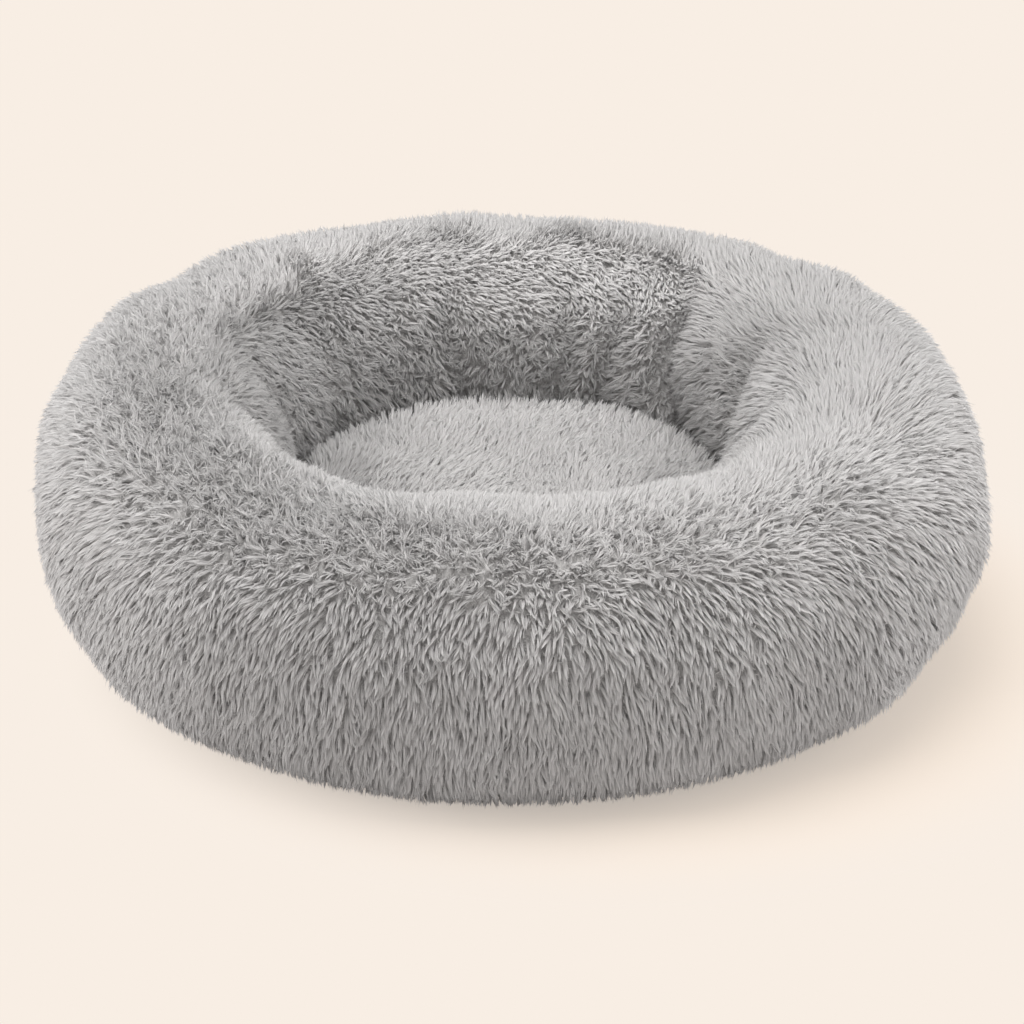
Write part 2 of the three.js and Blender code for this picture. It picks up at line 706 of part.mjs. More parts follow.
place("ring_cover", turned(closed(ringCoverSection()), COVER_COLUMNS), ringPlush);
place("pad_cover", turned(padCoverSection(), COVER_COLUMNS), padPlush);
place(
  "seam_binding",
  hoop(
    SEAM_RADIUS - SEAM_BINDING_THICKNESS / 2,
    SEAM_RADIUS + SEAM_BINDING_THICKNESS / 2,
    SEAM_BINDING_FOOT,
    SEAM_BINDING_TOP,
    COVER_COLUMNS,
  ),
  zipCloth,
);

const ringMiddle = (SEAM_RADIUS + BASE_RADIUS) / 2;
buildBag("ring", ringSpace(3), -ringMiddle);
buildBag("pad", padSpace(), -SEAM_RADIUS / 2);

buildTapeAndChain("front", -1);
buildTapeAndChain("rear", 1);
place("zip_top_stop_front", zipStop([-1], CHAIN_END + SEAT_GAP), zipMetal);
place("zip_top_stop_rear", zipStop([1], CHAIN_END + SEAT_GAP), zipMetal);
place("zip_bottom_stop", zipStop([-1, 1], CHAIN_START - SEAT_GAP - STOP_LENGTH), zipMetal);

const sliderGroup = new THREE.Group();
sliderGroup.position.set(SLIDER_REST, ZIP_OFFSET, CHAIN_HEIGHT);
bed.add(sliderGroup);
place("zip_slider", sliderSolid(), zipMetal, sliderGroup);
const pullGroup = new THREE.Group();
pullGroup.position.set(0, 0, -PULL_AXIS_DROP);
sliderGroup.add(pullGroup);
place("zip_pull", pullSolid(), zipMetal, pullGroup);

export default bed;
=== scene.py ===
"""A round plush donut pet bed: long-pile fur on a stuffed ring and on the crowned pad in its middle,
over liner bags full of fibre, on a dotted base cloth with a zip. Sizes are in millimetres up to the
making of each mesh, which is in metres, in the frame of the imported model."""
import math

import bpy
import numpy as np
from mathutils.bvhtree import BVHTree
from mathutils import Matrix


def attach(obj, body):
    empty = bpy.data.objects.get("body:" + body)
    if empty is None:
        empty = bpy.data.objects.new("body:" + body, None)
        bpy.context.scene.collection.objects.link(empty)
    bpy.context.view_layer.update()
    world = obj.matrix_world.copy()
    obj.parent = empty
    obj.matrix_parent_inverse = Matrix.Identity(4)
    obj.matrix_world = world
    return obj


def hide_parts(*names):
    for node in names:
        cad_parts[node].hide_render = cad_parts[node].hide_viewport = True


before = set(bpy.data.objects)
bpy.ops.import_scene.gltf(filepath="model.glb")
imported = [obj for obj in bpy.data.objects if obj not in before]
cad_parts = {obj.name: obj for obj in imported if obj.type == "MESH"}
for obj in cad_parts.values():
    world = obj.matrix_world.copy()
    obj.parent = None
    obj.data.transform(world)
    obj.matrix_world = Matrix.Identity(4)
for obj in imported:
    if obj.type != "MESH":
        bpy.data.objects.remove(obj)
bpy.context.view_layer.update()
MM = 0.001
TURN = 2 * math.pi
NO_TRIS = np.zeros((0, 3), int)

# Ring, measured to the tips of its fur
OUTER_RADIUS = 300
RING_HEIGHT = 189
BELLY_HEIGHT = 101.5
CREST_RADIUS = 222
NEST_RADIUS = 132
BROW_HEIGHT = 102
FOOT_RADIUS = 230.3
TOP_FULLNESS = 2.24
NEST_FULLNESS = 1.85

# Slow swells of a ring stuffed by hand: height, then shares and turns in degrees of its lobes
OUTER_SWELL = (2.5, [0.6, 1.1, 1.1, 0.85], [140, -85, -65, 200])
CREST_SWELL = (5, [1.1, 0.7, 0.25, 0.5], [115, 10, 115, 30])
NEST_SWELL = (3, [0.6, 0.6, 0.3, 0.3], [175, 110, 100, 110])
SWELL_FREE_HEIGHT = 12
SWELL_FULL_HEIGHT = 50

# Gathers of the inner wall: turn in degrees from +X, depth, breadth in degrees, and how far each slants
# in degrees for each millimetre of height
GATHERS = [
    (143, 8, 5, 0), (104, 7, 4.5, 0), (77, 7, 3.6, 0.03), (65, 8, 4, 0.03), (46.5, 16, 4.6, 0.16),
    (14, 8, 5, 0.1), (-7.5, 6, 5, 0), (-37.5, 7, 5, 0), (-60, 6, 5, 0), (-90, 6, 5, 0),
    (-112.5, 7, 5, 0), (-142.5, 7, 5, 0), (-165, 7, 5, 0), (165, 7, 5, 0),
]
GATHER_MIDDLE = 130
GATHER_WANDER = 0.04
GATHER_HELD_DEPTH = 5

# Lumps and dents of the ring: turn in degrees, way out from the crest, height and breadth
LUMPS = [
    (-141, -4, 5, 17), (-139, -26, -5, 9), (30, -62, 8, 24), (48, 18, 1, 30), (68, 14, 3, 32),
    (140, 14, -3, 18), (24, 22, -4, 24), (86, 12, -6, 30), (54, -66, 2, 12), (84, -70, 3, 14),
    (112, -60, 4, 15), (-134, 26, -4, 8), (-60, 40, -3, 14), (-101, 34, -3, 16),
]

# Ripples of the two backings: height, wavelength and seed
RING_RIPPLES = [(2.2, 95, 11), (1.0, 42, 12)]
PAD_RIPPLES = [(1.6, 80, 21), (0.8, 34, 22)]

# Backing cloth of the plush under its fur
FUR_DEPTH = 8.5
CREST_LIFT = 1.5
BELLY_FULLNESS = 1.9
BACKING_THICKNESS = 2
RING_COLUMNS = 192
RING_ROWS = 64
HEM_RADIUS = 229.6
HEM_HEIGHT = 9.6
HEM_CLEARANCE = 1.5
SEAM_RADIUS = 139
SEAM_HEIGHT = 75

# Pad
PAD_TOP_HEIGHT = 103
PAD_CROWN = 2
PAD_SHOULDER = 7
PAD_RIM_HEIGHT = 97
PAD_FUR_DEPTH = 4
PAD_COLUMNS = 96
PAD_ROWS = 26

# Cloth simulation of the two stuffed covers
CLOTH_SETTINGS = {
    "quality": 4,
    "mass": 0.3,
    "tension_stiffness": 20,
    "compression_stiffness": 20,
    "shear_stiffness": 8,
    "bending_stiffness": 0.6,
    "use_pressure": True,
    "uniform_pressure_force": 4.5,
    "vertex_group_mass": "held",
}
LAST_FRAME = 20
SWELL_LIMIT = 3
START_DEPTH = 1
CLOSING_ROWS = 8

# Fur: each tuft has one lock, which is a flat pointed blade, and fine strands round it
TUFT_AREA = 12.3
PAD_TUFT_AREA = 8
DENSE_PILE = 1.6
MATTED_LOSS = 0.38
LOCK_SIDES = 3
LOCK_SHARES = [0, 0.3, 0.58, 0.82]
LOCK_WIDTHS = [0.8, 1.0, 0.88, 0.5]
LOCK_HALF_WIDTH = 0.95
LOCK_HALF_THICKNESS = 0.5
STRANDS_IN_TUFT = 4
UNDERFUR_LENGTH = 8
UNDERFUR_RADIUS = 0.5
ROOT_SINK = 1.5
LOWEST_FUR = 0.8
STRAND_SIDES = 3
STRAND_SHARES = [0, 0.6]
STRAND_WIDTHS = [1.0, 0.85]
STRAND_RADIUS = 0.34
CRIMP_WAVELENGTH = 13
CRIMP_HEIGHT = 0.4
NORMAL_BLEND = 0.82
PATH_STEPS = 12
RING_PILE_LENGTH = 14
OUTER_PILE_LENGTH = 14.5
CREASE_DEPTH = 15
PAD_PILE_LENGTH = 13.5
RING_FUR_PIECES = 24
PAD_FUR_PIECES = 4
PAD_COMBING = 52
PAD_TURNS = [(0.4, 80, 52), (0.2, 18, 53)]
GOLDEN_TURN = math.pi * (3 - math.sqrt(5))

# Matted and frizzy places of the ring's fur, and places at its partings painted lighter: turn and breadth
# in degrees, and way out from the crest with its breadth; the frizzy and painted ones have their share
# first
MATTED_PLACE = (-155, 33, 2, 36)
FRIZZED = [(0.9, -98, 55, 30, 26), (0.45, 160, 45, -10, 55)]
PARTING_PAINTED_LIGHTS = [(0.6, 129.5, 4.5, -13, 13), (0.3, 126, 12, 0, 26)]

# How the ring's fur is combed: at each turn in degrees and way out from the crest, the strands' heading,
# where 0 is outwards and 90 is anticlockwise round the ring
COMB_REACH = 26
COMB_DEFAULT = 0.12
COMBED = [
    (-178, 72, -45), (-169, -18, -60), (-168, 0, -20), (-165, 76, -35), (-155, 56, -35),
    (-154, -48, -120), (-154, 14, -30), (-150, 0, -80), (-148, -16, -105), (-144, 64, -30),
    (-131, 28, 15), (-122, 12, -50), (-112, 2, -80), (-108, 44, 5), (-104, -24, -180), (-99, 46, -10),
    (-96, 14, 145), (-91, 46, -5), (-86, 14, 160), (-83, 44, 5), (-77, 16, 140), (-74, 34, 60),
    (-70, 36, 25), (-68, 24, 110), (-66, 56, 5), (-63, 24, 115), (-60, 8, 120), (-60, 44, 30),
    (-54, 34, 45), (-51, 20, 90), (-50, -8, 125), (-50, 40, 25), (-46, 4, 105), (-46, 28, 30),
    (-44, 48, -5), (-42, 14, 80), (-42, 36, 10), (-34, -48, 115), (-32, 14, 85), (-29, 48, 20),
    (-17, -8, 85), (-12, 28, 55), (-12, 48, 40), (-6, -76, -130), (1, -12, 70), (6, -74, 155),
    (16, -68, 110), (24, -8, 55), (26, -92, 130), (30, -46, 85), (34, -8, 50), (39, -56, 95),
    (42, -90, 165), (42, -44, 80), (54, -2, 35), (55, -80, 130), (57, -68, -85), (62, -36, -125),
    (64, -100, 140), (64, -84, 130), (66, -72, -105), (68, -56, -120), (68, 2, 25), (74, -88, 155),
    (76, -60, -112), (84, -90, 145), (84, -76, -115), (84, -62, -115), (92, -90, 160), (92, -62, -125),
    (92, -2, 5), (100, -46, -155), (108, -44, -135), (112, -88, 150), (114, 16, -15), (117, -56, -140),
    (121, -84, 155), (122, -34, 170), (124, -2, -20), (129, -28, 165), (138, -60, 170), (139, -30, 0),
    (142, -72, 165), (146, 2, -20), (147, -52, -170), (148, -96, -155), (149, -28, 10), (159, -24, 10),
    (168, -12, -5), (170, 24, -45), (176, -36, -15), (177, -100, -145),
    (58, -34, -135), (70, -30, -138), (84, -30, -138), (98, -30, -148), (112, -30, -150),
    (152, -64, 175), (162, -58, 178), (170, -72, 180), (177, -66, -175),
]

# Painted shade on the ring's fur, most of it low on the nest's walls: share, turn and breadth in degrees,
# and the way out from the crest where each starts and over which it grows, inwards where that is negative;
# the second list counts both ways
PAINTED_SHADES = [
    (1, 135, 70, -70, -35), (1.8, 165, 28, -20, -26), (0.55, 128, 18, -24, -22),
    (0.6, 30, 20, -20, -30), (0.35, 86, 36, -64, -25), (0.7, -115, 26, -5, 25),
]
CREST_PAINTED_SHADES = [(0.3, -90, 55, 30, -20), (0.5, 12, 42, 70, -40)]

# Painted shade on the pad's fur near its rim, where the ring's walls shade it, and painted light on its far
# side where the share is negative: share, turn and breadth in degrees
PAD_PAINTED_SHADES = [(1, 190, 55), (0.8, -25, 40), (0.9, -90, 50), (-0.7, 90, 45)]

# Base cloth and its grip dots
BASE_RADIUS = 229.6
BASE_BOTTOM = 1
BASE_THICKNESS = 0.8
DOT_RADIUS = 3.5
DOT_PITCH = 36
DOT_MARGIN = 5
CLOTH_STEP = 5
DOT_SIDES = 14
DOT_PROFILE = [[1.2, 0.0], [2.4, 0.04], [3.1, 0.22], [3.45, 0.6], [3.5, 1.25]]

# Zip
ZIP_OFFSET = 80
SLOT_WIDTH = 16
ZIP_HALF = 171.99
PATCH_START = 178
CHAIN_START = -157.99
CHAIN_HEIGHT = 6
CHAIN_INNER = 0.9
CHAIN_OUTER = 2.7
COIL_PITCH = 1.5
COIL_WIRE = 0.34
COIL_STEPS = 10
TAPE_THICKNESS = 0.6
TAPE_REACH = 185.99
TAPE_SECTION = [[3.0, 6.0], [5.2, 6.0], [9.3, 2.4], [21.7, 2.4]]
TAPE_STITCH_ROWS = ((3.7, 6.42), (15.5, 2.82))
TAPE_STITCH = [[0, 0, -0.12], [0.5, 0, 0.06], [1.7, 0, 0.06], [2.2, 0, -0.12]]
STITCH_PITCH = 3

# Bindings, as folded tapes
BINDING_THICKNESS = 0.5
BINDING_COLUMNS = 240

# Liner bags and fillings
LINER_THICKNESS = 0.8
LINER_GAP = 1.2
LINER_REACH = 18
LINER_COLUMNS = 144
LINER_ROWS = 72
FILLING_GAP = 0.8
LINER_FLOOR = 2.7
BAG_FOOT = 14
BAG_CREASES = 1.6
SLIDER_ROOM = 6
TAPE_ROOM = 1.4

# Camera at the photograph's place
CAMERA_ELEVATION = 24.73
CAMERA_DISTANCE = 2.5
CAMERA_AIM = (0.0013, 0, 0.079)
FOCAL_LENGTH = 139.6
SENSOR_WIDTH = 36

# Stage and lamps: each lamp's name, place, size and power
BACKGROUND = (0.939, 0.855, 0.776, 1)
FLOOR_RADIUS = 6
FLOOR_COLOUR = (0.88, 0.735, 0.6, 1)
FLOOR_BOUNCE = (0.68, 0.66, 0.65, 1)
FADE_CENTRE = (0.06, -0.01, 0)
FADE_START = 0.23
FADE_END = 0.345
FADE_FLOOR = 0.5
ROOM_LOW = (0.5, 0.48, 0.46)
ROOM_HIGH = (0.75, 0.75, 0.75)
ROOM_STRENGTH = 0.85
LAMP_AIM = (0, 0, 0.1)
LAMPS = [
    ("overhead", (0, -0.5, 1.85), 1.3, 17.3),
    ("front", (0.1, -2.2, 1.2), 1.4, 2.5),
    ("right", (1.8, 0.1, 0.9), 1.2, 11),
    ("left", (-1.8, -0.5, 0.45), 1.2, 12),
]


# Geometry helpers


def smooth(share):
    x = np.clip(share, 0, 1)
    return x * x * (3 - 2 * x)


def unit(vectors):
    return vectors / np.maximum(np.linalg.norm(vectors, axis=-1, keepdims=True), 1e-12)


def square_to(way, normal):
    """The part of a way that lies square to a normal, as a unit vector."""
    return unit(way - normal * (way * normal).sum(-1, keepdims=True))


def swell(angle, height, shares, turns):
    terms = [s * np.cos((k + 1) * angle - math.radians(t)) for k, (s, t) in enumerate(zip(shares, turns))]
    return height * sum(terms)


def settled(r, z, angle):
    """Where the stuffed bed has a point of the evenly round one."""
    outer = smooth((r - FOOT_RADIUS) / (OUTER_RADIUS - FOOT_RADIUS))
    upper = smooth((z - PAD_TOP_HEIGHT) / (RING_HEIGHT - PAD_TOP_HEIGHT))
    wall_radius = NEST_RADIUS + FUR_DEPTH
    past_wall = smooth((r - wall_radius) / (CREST_RADIUS - wall_radius))
    above_floor = smooth((z - SWELL_FREE_HEIGHT) / (SWELL_FULL_HEIGHT - SWELL_FREE_HEIGHT))
    inner = smooth(r / NEST_RADIUS) * (1 - past_wall) * above_floor
    out = outer * swell(angle, *OUTER_SWELL)
    out = out + inner * swell(angle, *NEST_SWELL)
    up = upper * swell(angle, *CREST_SWELL)
    return r + out, z + up


def turn_away(angle, turn):
    """Degrees from a turn of the ring to an angle in radians."""
    return (np.degrees(angle) - turn + 180) % 360 - 180


def gathered(angle, height=GATHER_MIDDLE):
    """How deep the gathers draw the inner wall in at an angle, wandering a little with the height."""
    angle = angle + GATHER_WANDER * np.sin(height / 17 + angle * 5) * smooth((height - SEAM_HEIGHT) / 60)
    depth = np.zeros_like(angle)
    for turn, deep, wide, slant in GATHERS:
        away = turn_away(angle, turn) - slant * (height - GATHER_MIDDLE)
        depth = np.maximum(depth, deep * np.exp(-((away / wide) ** 2)))
    return depth


def waves(points, wavelength, seed, count=14):
    """Smooth seeded noise from about -1 to 1 at points in space."""
    rng = np.random.default_rng(seed)
    directions = unit(rng.normal(size=(count, 3)))
    lengths = wavelength * rng.uniform(0.75, 1.35, count)
    phases = rng.uniform(0, TURN, count)
    height = np.sin((points @ directions.T) * (TURN / lengths) + phases).sum(-1)
    return height / math.sqrt(count / 2) / 1.4


def ripples(points, terms):
    return sum(height * waves(points, wavelength, seed) for height, wavelength, seed in terms)


def spot(angle, radius, out, turn, at, broad):
    """1 at a place of the ring, falling away from it over a breadth."""
    around = np.radians(turn_away(angle, turn)) * radius
    return np.exp(-(around**2 + (out - at) ** 2) / broad**2)


def quarter(centre_r, centre_z, width, height, fullness, steps=24):
    angle = np.linspace(0, math.pi / 2, steps + 1)
    across = np.abs(np.cos(angle)) ** (2 / fullness)
    across[-1] = 0
    up = np.sin(angle) ** (2 / fullness)
    return np.stack([centre_r + width * across, centre_z + height * up], -1)


def evenly(path, count):
    """The path's points set at even steps of its length, and its whole length."""
    steps = np.linalg.norm(np.diff(path, axis=0), axis=1)
    along = np.concatenate([[0], np.cumsum(steps)])
    at = np.linspace(0, along[-1], count)
    return np.stack([np.interp(at, along, path[:, i]) for i in range(path.shape[1])], -1), along[-1]


def turned(path, columns):
    """Radius, height and angle of a section path's points at each column round +Z."""
    angle = np.linspace(0, TURN, columns, endpoint=False)
    r = np.broadcast_to(path[:, 0], (columns, len(path)))
    z = np.broadcast_to(path[:, 1], (columns, len(path)))
    return r, z, np.broadcast_to(angle[:, None], r.shape)


def placed(r, z, angle):
    return np.stack([r * np.cos(angle), r * np.sin(angle), z], -1)


def stuffed(path, columns, gathers):
    """Radii, heights, angles and places of a section path turned round the stuffed bed."""
    r, z, angle = turned(path, columns)
    out, up = settled(r, z, angle)
    if gathers:
        inner = smooth((CREST_RADIUS - r) / (CREST_RADIUS - NEST_RADIUS - FUR_DEPTH)) * (z > SEAM_HEIGHT)
        out = out + inner * gathered(angle, up)
    return r, z, angle, placed(out, up, angle)


def grid_normals(points):
    across = np.roll(points, -1, 0) - np.roll(points, 1, 0)
    along = np.gradient(points, axis=1)
    return unit(np.cross(across, along))


def grid_faces(columns, rows, wrap_columns=True, wrap_rows=False):
    """Quads of a grid of points, which may close round its columns and round its rows."""
    u, v = np.meshgrid(
        np.arange(columns if wrap_columns else columns - 1),
        np.arange(rows if wrap_rows else rows - 1),
        indexing="ij",
    )
    u2, v2 = (u + 1) % columns, (v + 1) % rows
    return np.stack([u * rows + v, u2 * rows + v, u2 * rows + v2, u * rows + v2], -1).reshape(-1, 4)


def shrunk(points, distance):
    return points - grid_normals(points) * distance


def make_mesh(name, points, quads, tris, uv=None, normals=None):
    mesh = bpy.data.meshes.new(name)
    corners = np.concatenate([quads.ravel(), tris.ravel()]).astype(np.int32)
    starts = np.concatenate([np.arange(len(quads)) * 4, len(quads) * 4 + np.arange(len(tris)) * 3])
    for rows, key, values in (
        (mesh.vertices, "co", (points * MM).astype(np.float32)),
        (mesh.loops, "vertex_index", corners),
        (mesh.polygons, "loop_start", starts.astype(np.int32)),
    ):
        rows.add(len(values))
        rows.foreach_set(key, values.ravel())
    mesh.update(calc_edges=True)
    if uv is not None:
        layer = mesh.uv_layers.new(name="OFBake")
        layer.data.foreach_set("uv", uv[corners].astype(np.float32).ravel())
    mesh.shade_smooth()
    if normals is not None:
        shading = mesh.attributes.new("custom_normal", "FLOAT_VECTOR", "POINT")
        shading.data.foreach_set("vector", normals.astype(np.float32).ravel())
    return mesh


def new_object(name, data):
    made = bpy.data.objects.new(name, data)
    bpy.context.scene.collection.objects.link(made)
    return made


def add_piece(name, form, material, slot, *replaced):
    """A piece that rides on the bed, from its points, quads and tris, and the nodes that it stands for."""
    piece = new_object(name, make_mesh(name, *form))
    piece.data.materials.append(material)
    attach(piece, "bed")
    if replaced:
        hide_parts(*replaced)
    return piece


def joined(parts):
    """Points, quads and tris of several (points, quads, tris) parts as one."""
    points, quads, tris, count = [], [], [], 0
    for p, q, t in parts:
        points.append(p)
        quads.append(q + count)
        tris.append(t + count)
        count += len(p)
    return np.concatenate(points), np.concatenate(quads), np.concatenate(tris)


def end_fans(columns, rows, first, last):
    """Tris that close two rows of a grid with the two points that follow the grid's own."""
    u = np.arange(columns) * rows
    after = np.roll(u, -1)
    middle = np.full(columns, columns * rows)
    low = np.stack([u + first, middle, after + first], -1)
    return np.concatenate([low, np.stack([u + last, after + last, middle + 1], -1)])


def closed_ring(points):
    return points.reshape(-1, 3), grid_faces(*points.shape[:2], wrap_rows=True), NO_TRIS


def closed_disc(points):
    """A turned grid whose first and last rows are closed by a point each."""
    columns, rows = points.shape[:2]
    corners = np.concatenate([points.reshape(-1, 3), points[:, [0, -1]].mean(0)])
    return corners, grid_faces(columns, rows), end_fans(columns, rows, 0, rows - 1)


def doubled(points, thickness):
    """A surface's grid followed by its inner face in the opposite order."""
    return np.concatenate([points, shrunk(points, thickness)[:, ::-1]], 1)


def dome_shell(points, thickness):
    """A closed shell of a surface whose last row is the small circle round its middle."""
    shell = doubled(points, thickness)
    columns, rows = shell.shape[:2]
    half = rows // 2
    faces = grid_faces(columns, rows, wrap_rows=True)
    faces = faces[(faces[:, 0] % rows) != half - 1]
    corners = np.concatenate([shell.reshape(-1, 3), shell[:, [half, half - 1]].mean(0)])
    return corners, faces, end_fans(columns, rows, half, half - 1)


def slab(points, thickness):
    """A closed sheet from an open grid of points on its top face."""
    columns, rows = points.shape[:2]
    low = points - np.array([0, 0, thickness])
    count = columns * rows
    top = grid_faces(columns, rows, wrap_columns=False)
    edge = np.concatenate(
        [
            np.arange(columns) * rows,
            (columns - 1) * rows + np.arange(1, rows),
            np.arange(columns - 2, -1, -1) * rows + rows - 1,
            np.arange(rows - 2, 0, -1),
        ]
    )
    after = np.roll(edge, -1)
    sides = np.stack([after, edge, edge + count, after + count], -1)
    quads = np.concatenate([top, top[:, ::-1] + count, sides])
    return np.concatenate([points.reshape(-1, 3), low.reshape(-1, 3)]), quads, NO_TRIS


def tube(path, radius, sides):
    """A closed tube along a path of points."""
    ways = unit(np.gradient(path, axis=0))
    across = unit(np.cross(ways, np.array([0.13, 0.21, 0.97])))
    over = np.cross(ways, across)
    turn = np.arange(sides) * TURN / sides
    ring = np.cos(turn)[:, None, None] * across + np.sin(turn)[:, None, None] * over
    return closed_disc(path + radius * ring)


# Node helpers


def new_material(name):
    material = bpy.data.materials.new(name)
    material.use_nodes = True
    tree = material.node_tree
    return material, tree, tree.nodes["Principled BSDF"]


def feed(tree, made, inputs):
    """Gives each input of a node its value, or links it to the socket that is given for it."""
    for name, value in inputs.items():
        if isinstance(value, bpy.types.NodeSocket):
            tree.links.new(value, made.inputs[name])
        else:
            made.inputs[name].default_value = value


def node(tree, kind, inputs=None, **settings):
    made = tree.nodes.new(kind)
    for name, value in settings.items():
        setattr(made, name, value)
    feed(tree, made, inputs or {})
    return made


def object_place(tree):
    return node(tree, "ShaderNodeTexCoord").outputs["Object"]


def ramp(tree, source, stops):
    made = tree.nodes.new("ShaderNodeValToRGB")
    elements = made.color_ramp.elements
    while len(elements) < len(stops):
        elements.new(0.5)
    for element, (at, colour) in zip(elements, stops):
        element.position = at
        element.color = (*colour, 1)
    tree.links.new(source, made.inputs["Fac"])
    return made.outputs["Color"]


def mixed(tree, kind, factor, first, second):
    inputs = {0: factor, 6: first, 7: second}
    return node(tree, "ShaderNodeMix", inputs, data_type="RGBA", blend_type=kind).outputs[2]


def largest(tree, sockets):
    """The largest of several values."""
    most = sockets[0]
    for socket in sockets[1:]:
        most = node(tree, "ShaderNodeMath", {0: most, 1: socket}, operation="MAXIMUM").outputs[0]
    return most


def raised_by(tree, shader, height, strength, distance):
    inputs = {"Height": height, "Strength": strength, "Distance": distance}
    feed(tree, shader, {"Normal": node(tree, "ShaderNodeBump", inputs).outputs["Normal"]})


def finished(tree, shader, place, pattern, stops, patches, relief, gloss):
    """Colours a shader by a pattern, darker and lighter in soft patches, and raises it by that pattern."""
    scale, low, high = patches
    noise = node(tree, "ShaderNodeTexNoise", {"Vector": place, "Scale": scale, "Detail": 4})
    shade = ramp(tree, noise.outputs["Fac"], [(0.3, (low,) * 3), (0.7, (high,) * 3)])
    colour = mixed(tree, "MULTIPLY", 1, ramp(tree, pattern, stops), shade)
    roughness, specular = gloss
    feed(tree, shader, {"Base Color": colour, "Roughness": roughness, "Specular IOR Level": specular})
    raised_by(tree, shader, pattern, *relief)


def waved(tree, place, pitch, distortion, direction):
    """Bands of yarn at a pitch in millimetres."""
    inputs = {"Vector": place, "Scale": TURN / (pitch * MM) / 20, "Distortion": distortion}
    return node(tree, "ShaderNodeTexWave", inputs, bands_direction=direction)


# Materials


def fur_material(name, root, middle, tip, tone_spread=0.3):
    """Fur with painted shade towards its roots; the map's u holds each strand's tone, and its v runs to the
    tip.
    """
    material, tree, shader = new_material(name)
    uv = node(tree, "ShaderNodeUVMap", uv_map="OFBake")
    parts = node(tree, "ShaderNodeSeparateXYZ", {0: uv.outputs["UV"]})
    # The ramp's dark root colour is painted shade for the shadow deep in the pile
    along = ramp(tree, parts.outputs["Y"], [(0.0, root), (0.4, middle), (0.9, tip)])
    spread = {"Value": parts.outputs["X"], "To Min": 1 - tone_spread, "To Max": 1 + tone_spread}
    tone = node(tree, "ShaderNodeMapRange", spread).outputs["Result"]
    scaled = node(tree, "ShaderNodeVectorMath", {0: along, "Scale": tone}, operation="SCALE")
    gloss = {"Roughness": 0.7, "Specular IOR Level": 0.2, "Sheen Weight": 0.2, "Sheen Roughness": 0.5}
    feed(tree, shader, {"Base Color": scaled.outputs[0], **gloss})
    return material


def cloth_material(name, dark, light, pitch):
    """A woven cloth: two crossed bands of yarn at the given pitch in millimetres."""
    material, tree, shader = new_material(name)
    place = object_place(tree)
    bands = []
    for direction in ("X", "Y"):
        band = waved(tree, place, pitch, 0.6, direction)
        band.inputs["Detail Scale"].default_value = 3
        bands.append(band.outputs["Fac"])
    weave = largest(tree, bands)
    stops = [(0.2, dark), (0.95, light)]
    finished(tree, shader, place, weave, stops, (60, 0.88, 1.08), (0.4, 0.0003), (0.9, 0.2))
    return material


def fibrous_material(name, dark, light, scale, stretch, strength):
    """Loose or pressed fibres: long thin streaks that cross at random."""
    material, tree, shader = new_material(name)
    place = object_place(tree)
    streaks = []
    for turn in (0.3, 1.4, 2.4):
        spin = {"Rotation": (turn, turn * 0.7, turn), "Scale": (scale, scale * stretch, scale)}
        spun = node(tree, "ShaderNodeMapping", {"Vector": place, **spin}).outputs["Vector"]
        noise = {"Vector": spun, "Scale": 1, "Detail": 3, "Distortion": 0.8}
        streaks.append(node(tree, "ShaderNodeTexNoise", noise).outputs["Fac"])
    stops = [(0.45, dark), (0.7, light)]
    relief = (strength, 0.0008)
    finished(tree, shader, place, largest(tree, streaks), stops, (30, 0.93, 1.04), relief, (0.95, 0.15))
    return material


def tape_material(name, dark, light, pitch):
    """A ribbed woven tape with slanting ribs, as a zip's tape and a binding have."""
    material, tree, shader = new_material(name)
    place = object_place(tree)
    ribs = waved(tree, place, pitch, 0.4, "DIAGONAL").outputs["Fac"]
    stops = [(0.1, dark), (0.9, light)]
    finished(tree, shader, place, ribs, stops, (80, 0.9, 1.06), (0.5, 0.0002), (0.85, 0.25))
    return material


def moulded_material(name, dark, light, roughness, metallic, grain):
    """Plastic, rubber or metal with fine scuffs in its gloss and colour."""
    material, tree, shader = new_material(name)
    stretch = {"Vector": object_place(tree), "Scale": (grain, grain * 8, grain * 8)}
    stretched = node(tree, "ShaderNodeMapping", stretch).outputs["Vector"]
    noise = {"Vector": stretched, "Scale": 1, "Detail": 6, "Distortion": 0.3}
    scuffs = node(tree, "ShaderNodeTexNoise", noise).outputs["Fac"]
    spread = {"Value": scuffs, "To Min": roughness * 0.75, "To Max": min(1, roughness * 1.3)}
    gloss = node(tree, "ShaderNodeMapRange", spread).outputs["Result"]
    colour = ramp(tree, scuffs, [(0.3, dark), (0.75, light)])
    feed(tree, shader, {"Base Color": colour, "Roughness": gloss, "Metallic": metallic})
    raised_by(tree, shader, scuffs, 0.12, 0.0001)
    return material


# Each fur's first colour is the painted shade at its roots
RING_FUR = fur_material("ring_fur", (0.4, 0.387, 0.38), (0.63, 0.61, 0.6), (0.705, 0.687, 0.678))
PAD_FUR = fur_material("pad_fur", (0.5, 0.484, 0.473), (0.62, 0.601, 0.59), (0.68, 0.662, 0.652))
BACKING = fibrous_material("plush_backing", (0.36, 0.35, 0.343), (0.56, 0.544, 0.533), 500, 0.15, 0.8)
OXFORD = cloth_material("base_oxford", (0.075, 0.073, 0.074), (0.12, 0.117, 0.118), 0.8)
GRIP = moulded_material("grip_dots", (0.26, 0.257, 0.257), (0.34, 0.335, 0.335), 0.6, 0, 300)
BINDING = tape_material("binding_tape", (0.17, 0.163, 0.157), (0.25, 0.24, 0.23), 1.1)
ZIP_TAPE = tape_material("zip_tape", (0.16, 0.153, 0.147), (0.22, 0.211, 0.203), 0.8)
